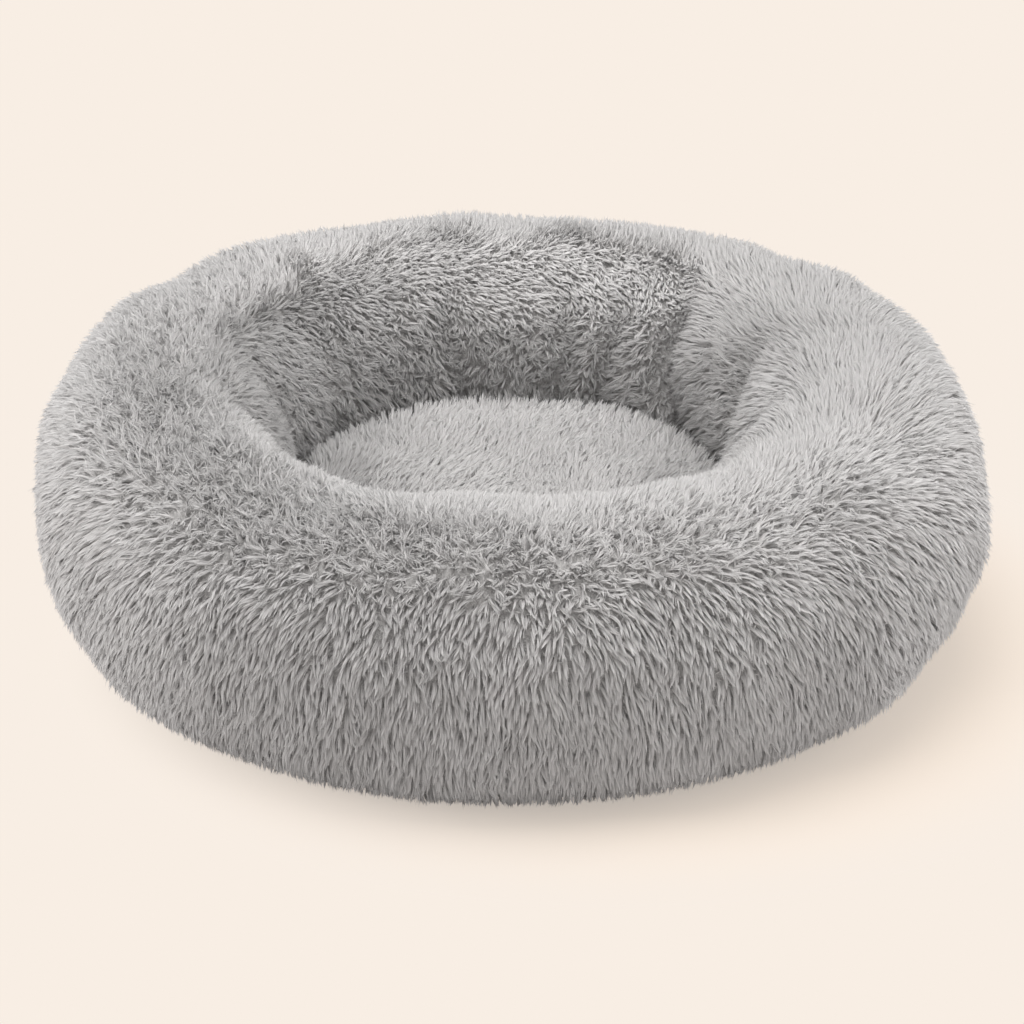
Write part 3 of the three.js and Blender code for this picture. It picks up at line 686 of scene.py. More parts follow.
THREAD = tape_material("thread", (0.3, 0.29, 0.28), (0.42, 0.41, 0.4), 0.4)
LINER = fibrous_material("liner_cloth", (0.62, 0.605, 0.58), (0.76, 0.745, 0.715), 700, 0.12, 0.3)
FIBRE = fibrous_material("fibre_fill", (0.7, 0.69, 0.665), (0.88, 0.87, 0.845), 260, 0.08, 0.9)
COIL = moulded_material("zip_coil", (0.15, 0.144, 0.138), (0.21, 0.202, 0.194), 0.38, 0, 500)
METAL = moulded_material("zip_metal", (0.42, 0.41, 0.4), (0.56, 0.55, 0.54), 0.3, 1, 700)


# Stuffed covers, blown up as cloth


def blown_up(points, held, closing, close):
    """The grid's points after a bag of the closing rows and them is blown up from a little smaller."""
    columns, rows = points.shape[:2]
    start = shrunk(points, START_DEPTH * (1 - held[..., None]))
    bag = np.concatenate([closing, start], 1)
    all_rows = bag.shape[1]
    piece = new_object("bag", make_mesh("bag", *close(bag)))
    group = piece.vertex_groups.new(name="held")
    weights = np.round(np.concatenate([np.ones(closing.shape[:2]), held], 1).ravel(), 1)
    for weight in np.unique(weights[weights > 0]):
        group.add(np.flatnonzero(weights == weight).tolist(), float(weight), "REPLACE")
    cloth = piece.modifiers.new("cloth", "CLOTH")
    for name, value in CLOTH_SETTINGS.items():
        setattr(cloth.settings, name, value)
    cloth.settings.effector_weights.gravity = 0
    cloth.point_cache.frame_start = 1
    cloth.point_cache.frame_end = LAST_FRAME
    for step in range(1, LAST_FRAME + 1):
        bpy.context.scene.frame_set(step)
    blown = piece.evaluated_get(bpy.context.evaluated_depsgraph_get()).to_mesh()
    moved = np.zeros(len(blown.vertices) * 3, np.float32)
    blown.vertices.foreach_get("co", moved)
    moved = moved.reshape(-1, 3)[: columns * all_rows].reshape(columns, all_rows, 3)
    bpy.data.objects.remove(piece)
    bpy.context.scene.frame_set(1)
    way = moved[:, all_rows - rows :] / MM - start
    far = np.linalg.norm(way, axis=-1, keepdims=True)
    reach = START_DEPTH + SWELL_LIMIT
    return start + way * (reach * np.tanh(far / reach) / np.maximum(far, 1e-6))


def straight_between(first, last):
    shares = np.linspace(0, 1, CLOSING_ROWS + 2)[1:-1, None]
    return first[:, None] * (1 - shares) + last[:, None] * shares


# Ring backing: the cloth that the fur stands on, from the outer hem over the crest to the pad's seam


def ring_section(depth, foot):
    """The stuffed section from its foot on the outside over the belly, the crest and the nest's wall."""
    crest = RING_HEIGHT + CREST_LIFT - depth
    out = OUTER_RADIUS - depth
    belly = quarter(HEM_RADIUS, BELLY_HEIGHT, out - HEM_RADIUS, foot - BELLY_HEIGHT, BELLY_FULLNESS)
    top = quarter(CREST_RADIUS, BELLY_HEIGHT, out - CREST_RADIUS, crest - BELLY_HEIGHT, TOP_FULLNESS)
    inward = NEST_RADIUS + depth - CREST_RADIUS
    wall = quarter(CREST_RADIUS, BROW_HEIGHT, inward, crest - BROW_HEIGHT, NEST_FULLNESS)
    return np.concatenate([belly[::-1], top[1:], wall[::-1][1:]])


def ring_surface(path, length):
    """The stuffed ring's surface on a section path, with its gathers and lumps."""
    r, z, angle, points = stuffed(path, RING_COLUMNS, True)
    rows = len(path)
    out = (np.argmax(path[:, 1]) - np.arange(rows)) * length / (rows - 1)
    height = smooth((z - HEM_HEIGHT) / 40) * smooth((r - SEAM_RADIUS) / 30) * ripples(points, RING_RIPPLES)
    for turn, at, high, broad in LUMPS:
        height = height + high * spot(angle, r, out, turn, at, broad)
    return shrunk(points, -height[..., None])


def ring_held(path):
    """Where the ring's cloth is sewn down: its two seams and the depths of its gathers."""
    angle = np.linspace(0, TURN, RING_COLUMNS, endpoint=False)[:, None]
    wall = (path[:, 0] < CREST_RADIUS - 30) & (path[:, 1] > SEAM_HEIGHT)
    held = smooth(gathered(angle) / GATHER_HELD_DEPTH - 0.2) * wall
    held[:, :2] = 1
    held[:, -2:] = 1
    return held


ring_path = np.concatenate([ring_section(FUR_DEPTH, HEM_HEIGHT), [[SEAM_RADIUS + 3, SEAM_HEIGHT + 2]]])
ring_path, ring_length = evenly(ring_path, RING_ROWS)
ring_points = ring_surface(ring_path, ring_length)
ring_closing = straight_between(ring_points[:, -1], ring_points[:, 0])
ring_points = blown_up(ring_points, ring_held(ring_path), ring_closing, closed_ring)
ring_shell = closed_ring(doubled(ring_points, BACKING_THICKNESS))
ring_backing = add_piece("ring_backing", ring_shell, BACKING, "ring_plush", "ring_cover")


# Pad backing


def pad_section(depth):
    radii = np.linspace(2, NEST_RADIUS - PAD_SHOULDER, 20)
    top = np.stack([radii, PAD_TOP_HEIGHT - depth - PAD_CROWN * (radii / NEST_RADIUS) ** 2], -1)
    rim = np.array([[NEST_RADIUS - 3, PAD_RIM_HEIGHT - depth + 2], [SEAM_RADIUS - 5, SEAM_HEIGHT + 2]])
    return np.concatenate([top, rim])[::-1]


pad_path = evenly(pad_section(PAD_FUR_DEPTH), PAD_ROWS)[0]
r, _, _, pad_points = stuffed(pad_path, PAD_COLUMNS, False)
pad_points[..., 2] += smooth((SEAM_RADIUS - r) / 30) * ripples(pad_points, PAD_RIPPLES)
pad_held = np.zeros(pad_points.shape[:2])
pad_held[:, :2] = 1
pad_middle = np.broadcast_to([0, 0, SEAM_HEIGHT + 2], pad_points[:, 0].shape)
pad_closing = straight_between(pad_middle, pad_points[:, 0])
pad_points = blown_up(pad_points, pad_held, pad_closing, closed_disc)
pad_shell = dome_shell(pad_points, BACKING_THICKNESS)
pad_backing = add_piece("pad_backing", pad_shell, BACKING, "pad_plush", "pad_cover")


# Fur


def scattered(path, tuft_area, density, seed):
    """Angles and row shares of tuft roots over the turned path's area, as dense as each row asks."""
    rng = np.random.default_rng(seed)
    steps = np.linalg.norm(np.diff(path, axis=0), axis=1)
    along = np.concatenate([[0], np.cumsum(steps)])
    area = (path[1:, 0] + path[:-1, 0]) / 2 * steps * (density[1:] + density[:-1]) / 2
    area = TURN * np.concatenate([[0], np.cumsum(area)])
    count = int(area[-1] / tuft_area)
    i = np.arange(count)
    at = np.interp((i + 0.5) / count * area[-1], area, along)
    at = np.clip(at + rng.normal(0, 1.2, count), 0, along[-1])
    share = at / along[-1]
    r = np.interp(share, np.linspace(0, 1, len(path)), path[:, 0])
    angle = (i * GOLDEN_TURN + rng.normal(0, 1.2, count) / np.maximum(r, 3)) % TURN
    return angle, share


def sampled(grid, angle, share):
    """Values of a (columns, rows, n) grid at angles round it and shares of its rows."""
    columns, rows = grid.shape[:2]
    u = angle / TURN * columns
    v = np.clip(share, 0, 1) * (rows - 1)
    u0 = np.floor(u).astype(int) % columns
    v0 = np.clip(np.floor(v).astype(int), 0, rows - 2)
    fu, fv = (u - np.floor(u))[:, None], (v - v0)[:, None]
    u1 = (u0 + 1) % columns
    low = grid[u0, v0] * (1 - fv) + grid[u0, v0 + 1] * fv
    high = grid[u1, v0] * (1 - fv) + grid[u1, v0 + 1] * fv
    return low * (1 - fu) + high * fu


def near(angle, turn, wide):
    """1 at an angle of the ring, falling away from it; turn and wide in degrees."""
    return np.exp(-((turn_away(angle, turn) / wide) ** 2))


def patch(angle, out, turn, wide, at, broad):
    """1 at a turn of the ring and a way out from the crest, falling away from both."""
    return near(angle, turn, wide) * np.exp(-(((out - at) / broad) ** 2))


def field(angle, out, turn, wide, at, span):
    """1 near a turn of the ring past a way out from the crest, which it reaches over the span."""
    return near(angle, turn, wide) * smooth((out - at) / span)


def total(shape, angle, out, places):
    """The sum of patches or fields, each with its share."""
    return sum(share * shape(angle, out, *where) for share, *where in places)


def roots(points, angle, share):
    """Roots of tufts on a backing, and the backing's normals there."""
    return sampled(points, angle, share), unit(sampled(grid_normals(points), angle, share))


def combing(angle, out, radius):
    """The strands' heading as an outward and an anticlockwise part, longer where strokes agree."""
    outwards = np.tanh((out - 6) / 12)
    ways = np.stack([COMB_DEFAULT * outwards, np.zeros_like(out)], -1)
    weight = np.full(len(out), COMB_DEFAULT)
    for turn, at, heading in COMBED:
        close = spot(angle, radius, out, turn, at, COMB_REACH)
        heading = math.radians(heading)
        ways += close[:, None] * np.array([math.cos(heading), math.sin(heading)])
        weight += close
    return ways / weight[:, None]


def tuft_paths(tufts, rng):
    """Points of the middle of each tuft from root to tip, as (tufts, PATH_STEPS + 1, 3)."""
    count = len(tufts["root"])
    normal, lay = tufts["normal"], tufts["lay"]
    side = np.cross(normal, lay)
    frizz = tufts["frizz"]
    spread = 0.1 + 0.6 * frizz + tufts["loose"] + tufts["curly"]
    azimuth = tufts["azimuth"] + rng.normal(0, 1, count) * spread
    curl = rng.normal(0, 1, count) * (0.1 + 1.5 * frizz)
    start = np.radians(tufts["start"] + rng.normal(0, 3, count))
    end = np.radians(tufts["end"] + rng.normal(0, 4 + 12 * frizz, count))
    length = tufts["length"] * rng.uniform(0.9, 1.08, count)
    centre = [np.zeros((count, 3))]
    for step in range(PATH_STEPS):
        share = step / (PATH_STEPS - 1)
        tilt = start + (end - start) * share**0.8
        turn = azimuth + curl * share
        flat = np.cos(turn)[:, None] * lay + np.sin(turn)[:, None] * side
        way = np.cos(tilt)[:, None] * normal + np.sin(tilt)[:, None] * flat
        way[:, 2] -= tufts["droop"] * (0.2 + 0.8 * share)
        centre.append(centre[-1] + unit(way) * (length / PATH_STEPS)[:, None])
    paths = np.stack(centre, 1) + (tufts["root"] - normal * ROOT_SINK)[:, None]
    return clear_of_base(paths + side[:, None] * crimped(count, length, frizz, rng)[..., None])


def clear_of_base(paths):
    """Paths with their low points moved out past the base cloth's hem."""
    radius = np.hypot(paths[..., 0], paths[..., 1])
    low = paths[..., 2] < HEM_HEIGHT
    wanted = np.where(low, np.maximum(radius, HEM_RADIUS + HEM_CLEARANCE), radius)
    paths[..., :2] *= (wanted / np.maximum(radius, 1))[..., None]
    return paths


def crimped(count, length, frizz, rng):
    """How far sideways a slight crimp takes each path at its steps."""
    share = np.linspace(0, 1, PATH_STEPS + 1)
    height = CRIMP_HEIGHT * rng.uniform(0.4, 1.5, count) * (0.5 + 2 * frizz)
    turns = share * (length / CRIMP_WAVELENGTH * rng.uniform(0.7, 1.3, count))[:, None]
    return height[:, None] * share**0.7 * np.sin(TURN * turns + rng.uniform(0, TURN, count)[:, None])


def at_shares(paths, shares):
    """Points of the paths at shares of their length."""
    place = np.asarray(shares) * PATH_STEPS
    low = np.minimum(place.astype(int), PATH_STEPS - 1)
    rest = (place - low)[:, None]
    return paths[:, low] * (1 - rest) + paths[:, low + 1] * rest


def blades(paths, wide, thin, widths, sides, tone, tone_step, across, upright, pale, top=1.0):
    """Closed tapering blades along the paths, as points, quads, tris, map places and shading normals."""
    count, rings = len(paths), len(widths)
    ways = unit(np.gradient(paths, axis=1))[:, :rings]
    across = square_to(across[:, None], ways)
    over = np.cross(ways, across)
    turn = (np.arange(sides) / sides + 1 / 4) * TURN
    width = (np.asarray(widths) * wide[:, None])[..., None, None]
    depth = (np.asarray(widths) * thin[:, None])[..., None, None]
    ring = across[:, :, None] * np.cos(turn)[:, None] * width
    ring = ring + over[:, :, None] * np.sin(turn)[:, None] * depth
    rings_at = paths[:, :rings, None] + ring
    points = np.concatenate([rings_at.reshape(count, -1, 3), paths[:, -1:]], 1)
    per = rings * sides + 1
    step, corner = np.meshgrid(np.arange(rings - 1), np.arange(sides), indexing="ij")
    after = (corner + 1) % sides
    low, high = step * sides, step * sides + sides
    quads = np.stack([low + corner, low + after, high + after, high + corner], -1).reshape(-1, 4)
    last = (rings - 1) * sides + np.arange(sides)
    tips = np.stack([last, np.roll(last, -1), np.full(sides, per - 1)], -1)
    foot = np.stack([np.zeros(sides - 2, int), np.arange(2, sides), np.arange(1, sides - 1)], -1)
    tris = np.concatenate([tips, foot])
    base = np.arange(count)[:, None, None] * per
    v = top * np.append(np.repeat(np.linspace(0.01, 0.85, rings), sides), 0.99)
    # pale lifts the map's v off the roots, taking away part of the painted root shade
    v = pale[:, None] + (1 - pale[:, None]) * v
    u = tone[:, None] + np.concatenate([np.tile(tone_step, (1, rings)), np.zeros((count, 1))], 1)
    uv = np.stack([np.clip(u, 0.005, 0.995), v], -1)
    round_it = np.concatenate([unit(ring).reshape(count, -1, 3), upright[:, None]], 1)
    normals = unit(round_it * (1 - NORMAL_BLEND) + upright[:, None] * NORMAL_BLEND)
    faces = (base + quads).reshape(-1, 4), (base + tris).reshape(-1, 3)
    return points.reshape(-1, 3), *faces, uv.reshape(-1, 2), normals.reshape(-1, 3)


def underfur(tufts, side, tone, pale, rng):
    """A short strand beside each tuft that covers the backing, leaning any way."""
    count = len(side)
    spin, away = rng.uniform(0, TURN, count), rng.uniform(1, 2.4, count)
    flat = np.cos(spin)[:, None] * side + np.sin(spin)[:, None] * tufts["lay"]
    root = tufts["root"] + flat * away[:, None] - tufts["normal"]
    way = unit(tufts["normal"] + rng.normal(0, 0.55, (count, 3)))
    share = np.array([*STRAND_SHARES, 1])[:, None]
    reach = UNDERFUR_LENGTH * rng.uniform(0.7, 1.15, count)
    paths = root[:, None] + way[:, None] * share * reach[:, None, None]
    radius = UNDERFUR_RADIUS * rng.uniform(0.8, 1.3, count)
    small = np.tile([-0.004, 0, 0.004], (count, 1))
    across = unit(rng.normal(size=(count, 3)))
    # top 0.6 keeps the underfur's map short of the tips, in the painted root shade
    shape = (STRAND_WIDTHS, STRAND_SIDES, tone, small, across, tufts["normal"], pale, 0.6)
    return blades(paths, radius, radius, *shape)


def tuft_form(paths, tufts, rng):
    """The locks and strands of some tufts as one form."""
    count = len(paths)
    side = np.cross(tufts["normal"], tufts["lay"])
    calm, pale, frizz = tufts["calm"], tufts["pale"], tufts["frizz"]
    tone = np.clip(0.5 + tufts["tone"] + rng.uniform(-0.1, 0.1, count) * calm, 0.01, 0.99)
    wide = LOCK_HALF_WIDTH * rng.uniform(0.75, 1.3, count) * tufts["breadth"]
    thin = LOCK_HALF_THICKNESS * rng.uniform(0.8, 1.2, count)
    lock_paths = at_shares(paths, [*LOCK_SHARES, 0.97])
    step = rng.uniform(-0.06, 0.06, (count, LOCK_SIDES)) * calm[:, None]
    upright = unit(tufts["normal"] + 0.18 * rng.normal(size=(count, 3)))
    forms = [blades(lock_paths, wide, thin, LOCK_WIDTHS, LOCK_SIDES, tone, step, side, upright, pale)]
    along = np.array([*STRAND_SHARES, 1])
    strand_paths = at_shares(paths, along)
    root = strand_paths[:, :1]
    small = np.tile([-0.004, 0, 0.004], (count, 1))
    for _ in range(STRANDS_IN_TUFT):
        spin = rng.uniform(0, TURN, count)
        away = rng.uniform(0.5, 2.1, count) * tufts["breadth"]
        offset = (away * np.cos(spin))[:, None] * side
        offset = offset + (away * np.sin(spin) * 0.8)[:, None] * tufts["normal"]
        together = 1 - (0.75 - 0.5 * frizz)[:, None, None] * along[:, None] ** 1.2
        stray = rng.normal(0, 1, (count, 3)) * (0.5 + 1.8 * frizz + tufts["curly"])[:, None]
        reach = rng.uniform(0.8, 1.08, count)[:, None, None]
        strands = root + (strand_paths - root) * reach + offset[:, None] * together
        strands = strands + stray[:, None] * along[:, None] ** 1.6
        thickness = STRAND_RADIUS * rng.uniform(0.75, 1.3, count)
        strand_tone = np.clip(tone + rng.uniform(-0.12, 0.18, count) * calm, 0.01, 0.99)
        across = unit(side + 0.2 * rng.normal(size=(count, 3)))
        upright = unit(tufts["normal"] + 0.25 * rng.normal(size=(count, 3)))
        shape = (STRAND_WIDTHS, STRAND_SIDES, strand_tone, small, across, upright, pale)
        forms.append(blades(strands, thickness, thickness, *shape))
    forms.append(underfur(tufts, side, tone, pale, rng))
    points, quads, tris = joined([form[:3] for form in forms])
    points[:, 2] = np.maximum(points[:, 2], LOWEST_FUR)
    return points, quads, tris, *(np.concatenate([form[k] for form in forms]) for k in (3, 4))


def ring_tufts(points, path, length):
    rows = len(path)
    crest = np.argmax(path[:, 1]) / (rows - 1)
    row_out = (crest - np.linspace(0, 1, rows)) * length
    density = 1 + (DENSE_PILE - 1) * smooth((48 - row_out) / 30)
    angle, share = scattered(path, TUFT_AREA, density, 31)
    out = (crest - share) * length
    # Matted curls: fewer tufts and frizzier ones, with painted shade for the gaps between the curls
    curly = patch(angle, out, *MATTED_PLACE)
    kept = np.random.default_rng(33).random(len(angle)) > MATTED_LOSS * curly
    angle, share, out, curly = angle[kept], share[kept], out[kept], curly[kept]
    root, normal = roots(points, angle, share)
    down = square_to(-unit(sampled(np.gradient(points, axis=1), angle, share)), normal)
    around = np.cross(normal, down)
    combed = combing(angle, out, np.hypot(root[:, 0], root[:, 1]))
    flat = np.clip(np.linalg.norm(combed, axis=-1) * 1.25, 0, 1)
    frizz = total(patch, angle, out, FRIZZED) + 1.1 * curly + 0.3 * smooth((-out - 60) / 20)
    frizz = np.clip(frizz + 0.06 + 0.1 * waves(root, 50, 43), 0.02, 1)
    shoulder = np.exp(-((out / 40) ** 2))
    outer = smooth((out - 42) / 50)
    calmed = field(angle, out, 90, 85, -92, 45) + field(angle, np.abs(out), 0, 70, 70, -40)
    calmed = np.maximum(np.clip(calmed, 0, 1), field(angle, out, -85, 30, 22, -25))
    calmed = np.maximum(calmed, field(angle, out, 180, 30, -10, 30) * smooth((75 - out) / 30))
    calmed = calmed * (1 - 0.8 * np.clip(frizz, 0, 1))
    frizz = frizz * (1 - 0.7 * calmed)
    # Painted light on the upper part of the nest's far wall, lifting its colour and its roots' painted
    # shade
    brow_painted_light = field(angle, out, 74, 42, -6, -20) * smooth((out + 88) / 30)
    brushed = field(angle, out, 66, 24, -8, -20) * smooth((out + 80) / 30)
    brushed = brushed + field(angle, out, 163, 26, -34, -22)
    turn = (0.3 - 0.12 * calmed) * waves(root, 17, 41) + 0.16 * waves(root, 44, 42)
    heading = np.arctan2(combed[:, 1], combed[:, 0]) + turn + 2 * frizz * waves(root, 13, 45)
    pile = RING_PILE_LENGTH + (OUTER_PILE_LENGTH - RING_PILE_LENGTH) * outer
    # How deep the gathers are under each tuft: the pile is shorter there, and the creases get painted shade
    crease = np.clip(gathered(angle, root[:, 2]) / CREASE_DEPTH, 0, 1) * smooth((-out - 42) / 30)
    # Painted light over the dark gaps where the combed fur parts
    parting_painted_light = total(patch, angle, out, PARTING_PAINTED_LIGHTS)
    # Painted shade, deepest low on the nest's walls
    shade = total(field, angle, out, PAINTED_SHADES) + total(field, angle, np.abs(out), CREST_PAINTED_SHADES)
    return {
        "root": root,
        "normal": normal,
        "lay": unit(down * np.cos(heading)[:, None] + around * np.sin(heading)[:, None]),
        "angle": angle,
        "frizz": frizz,
        "azimuth": 0.1 * np.random.default_rng(44).normal(0, 1, len(root)),
        "loose": 0.6 * (1 - flat),
        "start": 8 + 8 * flat + 6 * outer * flat + 18 * brushed,
        "end": 28 + 28 * flat + 22 * frizz * waves(root, 11, 46) + 14 * curly + 16 * brushed,
        "droop": 0.08 + 0.3 * smooth((out - 45) / 60),
        "length": pile * (1 - 0.12 * frizz) * (1 - 0.08 * shoulder) * (1 - 0.5 * crease),
        "breadth": (1 - 0.15 * frizz) * (0.62 + 0.3 * outer) * (1 + 0.4 * curly),
        "calm": 1 - 0.6 * calmed + 0.7 * curly,
        # Less painted root shade in calm fur, on the outer side and on the brow, and none of that lift in
        # the creases
        "pale": np.maximum(0.85 * calmed * (1 - crease), 0.25 * outer + 0.65 * brow_painted_light),
        # Painted light on the brow and at the partings, painted shade in the curls, the creases and the
        # shaded places
        "tone": 0.3 * brow_painted_light + 0.35 * parting_painted_light - 0.48 * curly - 0.8 * crease - 0.4 * shade,
        "curly": curly,
    }


def pad_tufts(points, path):
    angle, share = scattered(path, PAD_TUFT_AREA, np.ones(len(path)), 51)
    root, normal = roots(points, angle, share)
    turn = math.radians(PAD_COMBING) + ripples(root, PAD_TURNS)
    way = np.stack([np.cos(turn), np.sin(turn), np.zeros(len(root))], -1)
    radius = np.hypot(root[:, 0], root[:, 1])
    rim = smooth((radius - 100) / 30)
    # Painted shade on the pad near the ring's walls, painted light on its far side
    shade = sum(share * near(angle, *where) for share, *where in PAD_PAINTED_SHADES)
    return {
        "root": root,
        "normal": normal,
        "lay": square_to(way, normal),
        "angle": angle,
        "frizz": np.clip(0.08 + 0.08 * waves(root, 40, 54) + 0.1 * rim, 0, 1),
        "azimuth": 0.1 * np.random.default_rng(55).normal(0, 1, len(root)),
        "loose": 0.1,
        "start": 34 - 22 * rim,
        "end": 72 - 48 * rim,
        "droop": 0.05,
        "length": PAD_PILE_LENGTH + rim * (1 + 1.5 * waves(root, 9, 56)),
        "breadth": 0.6,
        "calm": 0.5,
        "pale": 0.5,
        "tone": -0.5 * shade * smooth((radius - 50) / 70),
        "curly": 0,
    }


def grow(name, tufts, pieces, material, seed):
    """Grows the fur of the ring or the pad in pieces, one for each sector round it."""
    rng = np.random.default_rng(seed)
    count = len(tufts["root"])
    tufts = {key: np.full(count, value) if np.isscalar(value) else value for key, value in tufts.items()}
    paths = tuft_paths(tufts, rng)
    sector = np.minimum((tufts["angle"] / TURN * pieces).astype(int), pieces - 1)
    for k in range(pieces):
        here = sector == k
        form = tuft_form(paths[here], {key: values[here] for key, values in tufts.items()}, rng)
        add_piece(f"{name}_fur_{k + 1:02d}", form, material, f"{name}_plush", f"{name}_cover")


grow("ring", ring_tufts(ring_points, ring_path, ring_length), RING_FUR_PIECES, RING_FUR, 61)
grow("pad", pad_tufts(pad_points, pad_path), PAD_FUR_PIECES, PAD_FUR, 62)


# Liner bags of white cloth and the fibre in them


def lift_over_zip(points):
    """Raises the underside over the zip: low over its tapes, higher where the slider runs."""
    away = np.abs(points[..., 1] - ZIP_OFFSET)
    over = smooth((ZIP_HALF + 18 - np.abs(points[..., 0])) / 4)
    high = SLIDER_ROOM * smooth((16 - away) / 4) + TAPE_ROOM * smooth((32 - away) / 8)
    floor = LINER_FLOOR + over * high
    points[..., 2] = np.maximum(points[..., 2], floor + points[..., 2] * 0.01)
    return points


def ring_bag_path(depth):
    """The ring bag's closed section: along the base cloth, up the belly, over, and down the seam's side."""
    base = [[SEAM_RADIUS + 7, LINER_FLOOR], [BASE_RADIUS - 8, LINER_FLOOR]]
    belly = [[BASE_RADIUS - 5, 6], [BASE_RADIUS - 4, 12]]
    seam_side = [[SEAM_RADIUS + 6, SEAM_HEIGHT + 6], [SEAM_RADIUS + 4, 60], [SEAM_RADIUS + 4, 6]]
    path = np.concatenate([base, belly, ring_section(depth, BAG_FOOT), seam_side])
    return evenly(path, LINER_ROWS + 1)[0][:-1]


def pad_bag_path(depth):
    top = PAD_TOP_HEIGHT - depth
    side = SEAM_RADIUS - 3.4
    low = [[2, LINER_FLOOR], [side - 5, LINER_FLOOR], [side, 7], [side, 60], [side - 2, SEAM_HEIGHT - 4]]
    shoulder = [[SEAM_RADIUS - 9, top - 16], [SEAM_RADIUS - 18, top - 7]]
    crown = [[90, top - 2.4], [45, top - 0.6], [2, top]]
    return evenly(np.array(low + shoulder + crown), LINER_ROWS)[0]


def creased_bag(path, gathers):
    """A creased bag on a section path, lifted clear of the zip."""
    _, z, _, points = stuffed(path, LINER_COLUMNS, gathers)
    inward = BAG_CREASES * (0.5 + 0.5 * waves(points, 22, 71)) * smooth((z - 15) / 20)
    return lift_over_zip(shrunk(points, inward[..., None]))


def inside_out(form):
    points, quads, tris = form
    return points, quads[:, ::-1], tris[:, ::-1]


def kept_inside(points, cover):
    """Moves the points of a bag that would come through the cover over it to just inside that cover."""
    columns, rows = cover.shape[:2]
    tree = BVHTree.FromPolygons(cover.reshape(-1, 3).tolist(), grid_faces(columns, rows).tolist())
    gap = BACKING_THICKNESS + LINER_GAP / 2
    moved = points.reshape(-1, 3).copy()
    for index, point in enumerate(moved):
        hit, way, _, away = tree.find_nearest(point.tolist())
        above = (point - np.array(hit)) @ np.array(way)
        if away < LINER_REACH and above > -gap:
            moved[index] = np.array(hit) - np.array(way) * gap
    return moved.reshape(points.shape)


LINER_DEPTH = BACKING_THICKNESS + LINER_GAP
for name, path, close, cover, fill in (
    ("ring", ring_bag_path(FUR_DEPTH + LINER_DEPTH), closed_ring, ring_points, 0.85),
    ("pad", pad_bag_path(PAD_FUR_DEPTH + LINER_DEPTH), closed_disc, pad_points, 0.7),
):
    outside = kept_inside(creased_bag(path, name == "ring"), cover)
    bag = joined([close(outside), inside_out(close(shrunk(outside, LINER_THICKNESS)))])
    wadding = shrunk(outside, LINER_THICKNESS + FILLING_GAP)
    wadding = shrunk(wadding, 0.6 + 0.6 * waves(wadding, 12, 72)[..., None])
    liner = add_piece(f"{name}_liner_bag", bag, LINER, "liner", f"{name}_liner")
    fibre = add_piece(f"{name}_fibre_fill", close(wadding), FIBRE, "fibre", f"{name}_filling")


# Base cloth in two panels with a patch at each end of the zip, and grip dots under it


def cloth_panel(x_from, x_to, y_from, y_to):
    """A grid of points on the base cloth between four lines, kept inside its round edge."""
    y = np.linspace(y_from, y_to, max(4, int((y_to - y_from) / CLOTH_STEP)))
    reach = np.sqrt(np.maximum(BASE_RADIUS**2 - y**2, 1))
    low, high = np.maximum(x_from, -reach), np.minimum(x_to, reach)
    share = np.linspace(0, 1, max(4, int((high - low).max() / CLOTH_STEP)))[:, None]
    x = low + (high - low) * share
    y = np.broadcast_to(y, x.shape)
    free = smooth((BASE_RADIUS - np.hypot(x, y)) / 12)
    flat = np.stack([x, y, np.full_like(x, BASE_BOTTOM + BASE_THICKNESS)], -1)
    return flat - np.array([0, 0, 0.25]) * (free * (0.5 + 0.5 * waves(flat, 30, 81)))[..., None]


def grip_dot(x, y):
    """A low dome of rubber that reaches from the floor into the cloth."""
    angle = np.linspace(0, TURN, DOT_SIDES, endpoint=False)[:, None]
    r, z = np.array(DOT_PROFILE).T
    ring = [x + r * np.cos(angle), y + r * np.sin(angle), np.broadcast_to(z, (DOT_SIDES, len(r)))]
    return closed_disc(np.stack(ring, -1))


def dots_between(y_from, y_to):
    row_pitch = DOT_PITCH * math.sin(math.pi / 3)
    rows = math.ceil(BASE_RADIUS / row_pitch)
    in_row = math.ceil(BASE_RADIUS / DOT_PITCH) + 1
    edge = DOT_RADIUS + DOT_MARGIN
    dots = []
    for row in range(-rows, rows + 1):
        for place in range(-in_row, in_row + 1):
            x = (place + (0.5 if row % 2 else 0)) * DOT_PITCH
            y = row * row_pitch
            if y - edge > y_from and y + edge < y_to and math.hypot(x, y) + edge < BASE_RADIUS:
                dots.append(grip_dot(x, y))
    return joined(dots)


SLOT_FRONT = ZIP_OFFSET - SLOT_WIDTH / 2
SLOT_REAR = ZIP_OFFSET + SLOT_WIDTH / 2
PATCH_ROWS = (SLOT_FRONT + 0.3, SLOT_REAR - 0.3)
EDGE = BASE_RADIUS - 0.5
for name, bounds, rests in (
    ("base_front", (-EDGE, EDGE, -EDGE, SLOT_FRONT), ["base_front_dots"]),
    ("base_rear", (-EDGE, EDGE, SLOT_REAR, EDGE), ["base_rear_dots"]),
    ("zip_patch_left", (-EDGE, -PATCH_START, *PATCH_ROWS), ["base_front_cloth", "base_rear_cloth"]),
    ("zip_patch_right", (PATCH_START, EDGE, *PATCH_ROWS), ["base_front_cloth", "base_rear_cloth"]),
):
    points = cloth_panel(*bounds)
    panel = add_piece(f"{name}_cloth", slab(points, BASE_THICKNESS), OXFORD, "base_cloth", name)
    if rests == [f"{name}_dots"]:
        add_piece(f"{name}_dots", dots_between(bounds[2], bounds[3]), GRIP, "base_cloth", name)


# Bindings folded over the edges of the two seams


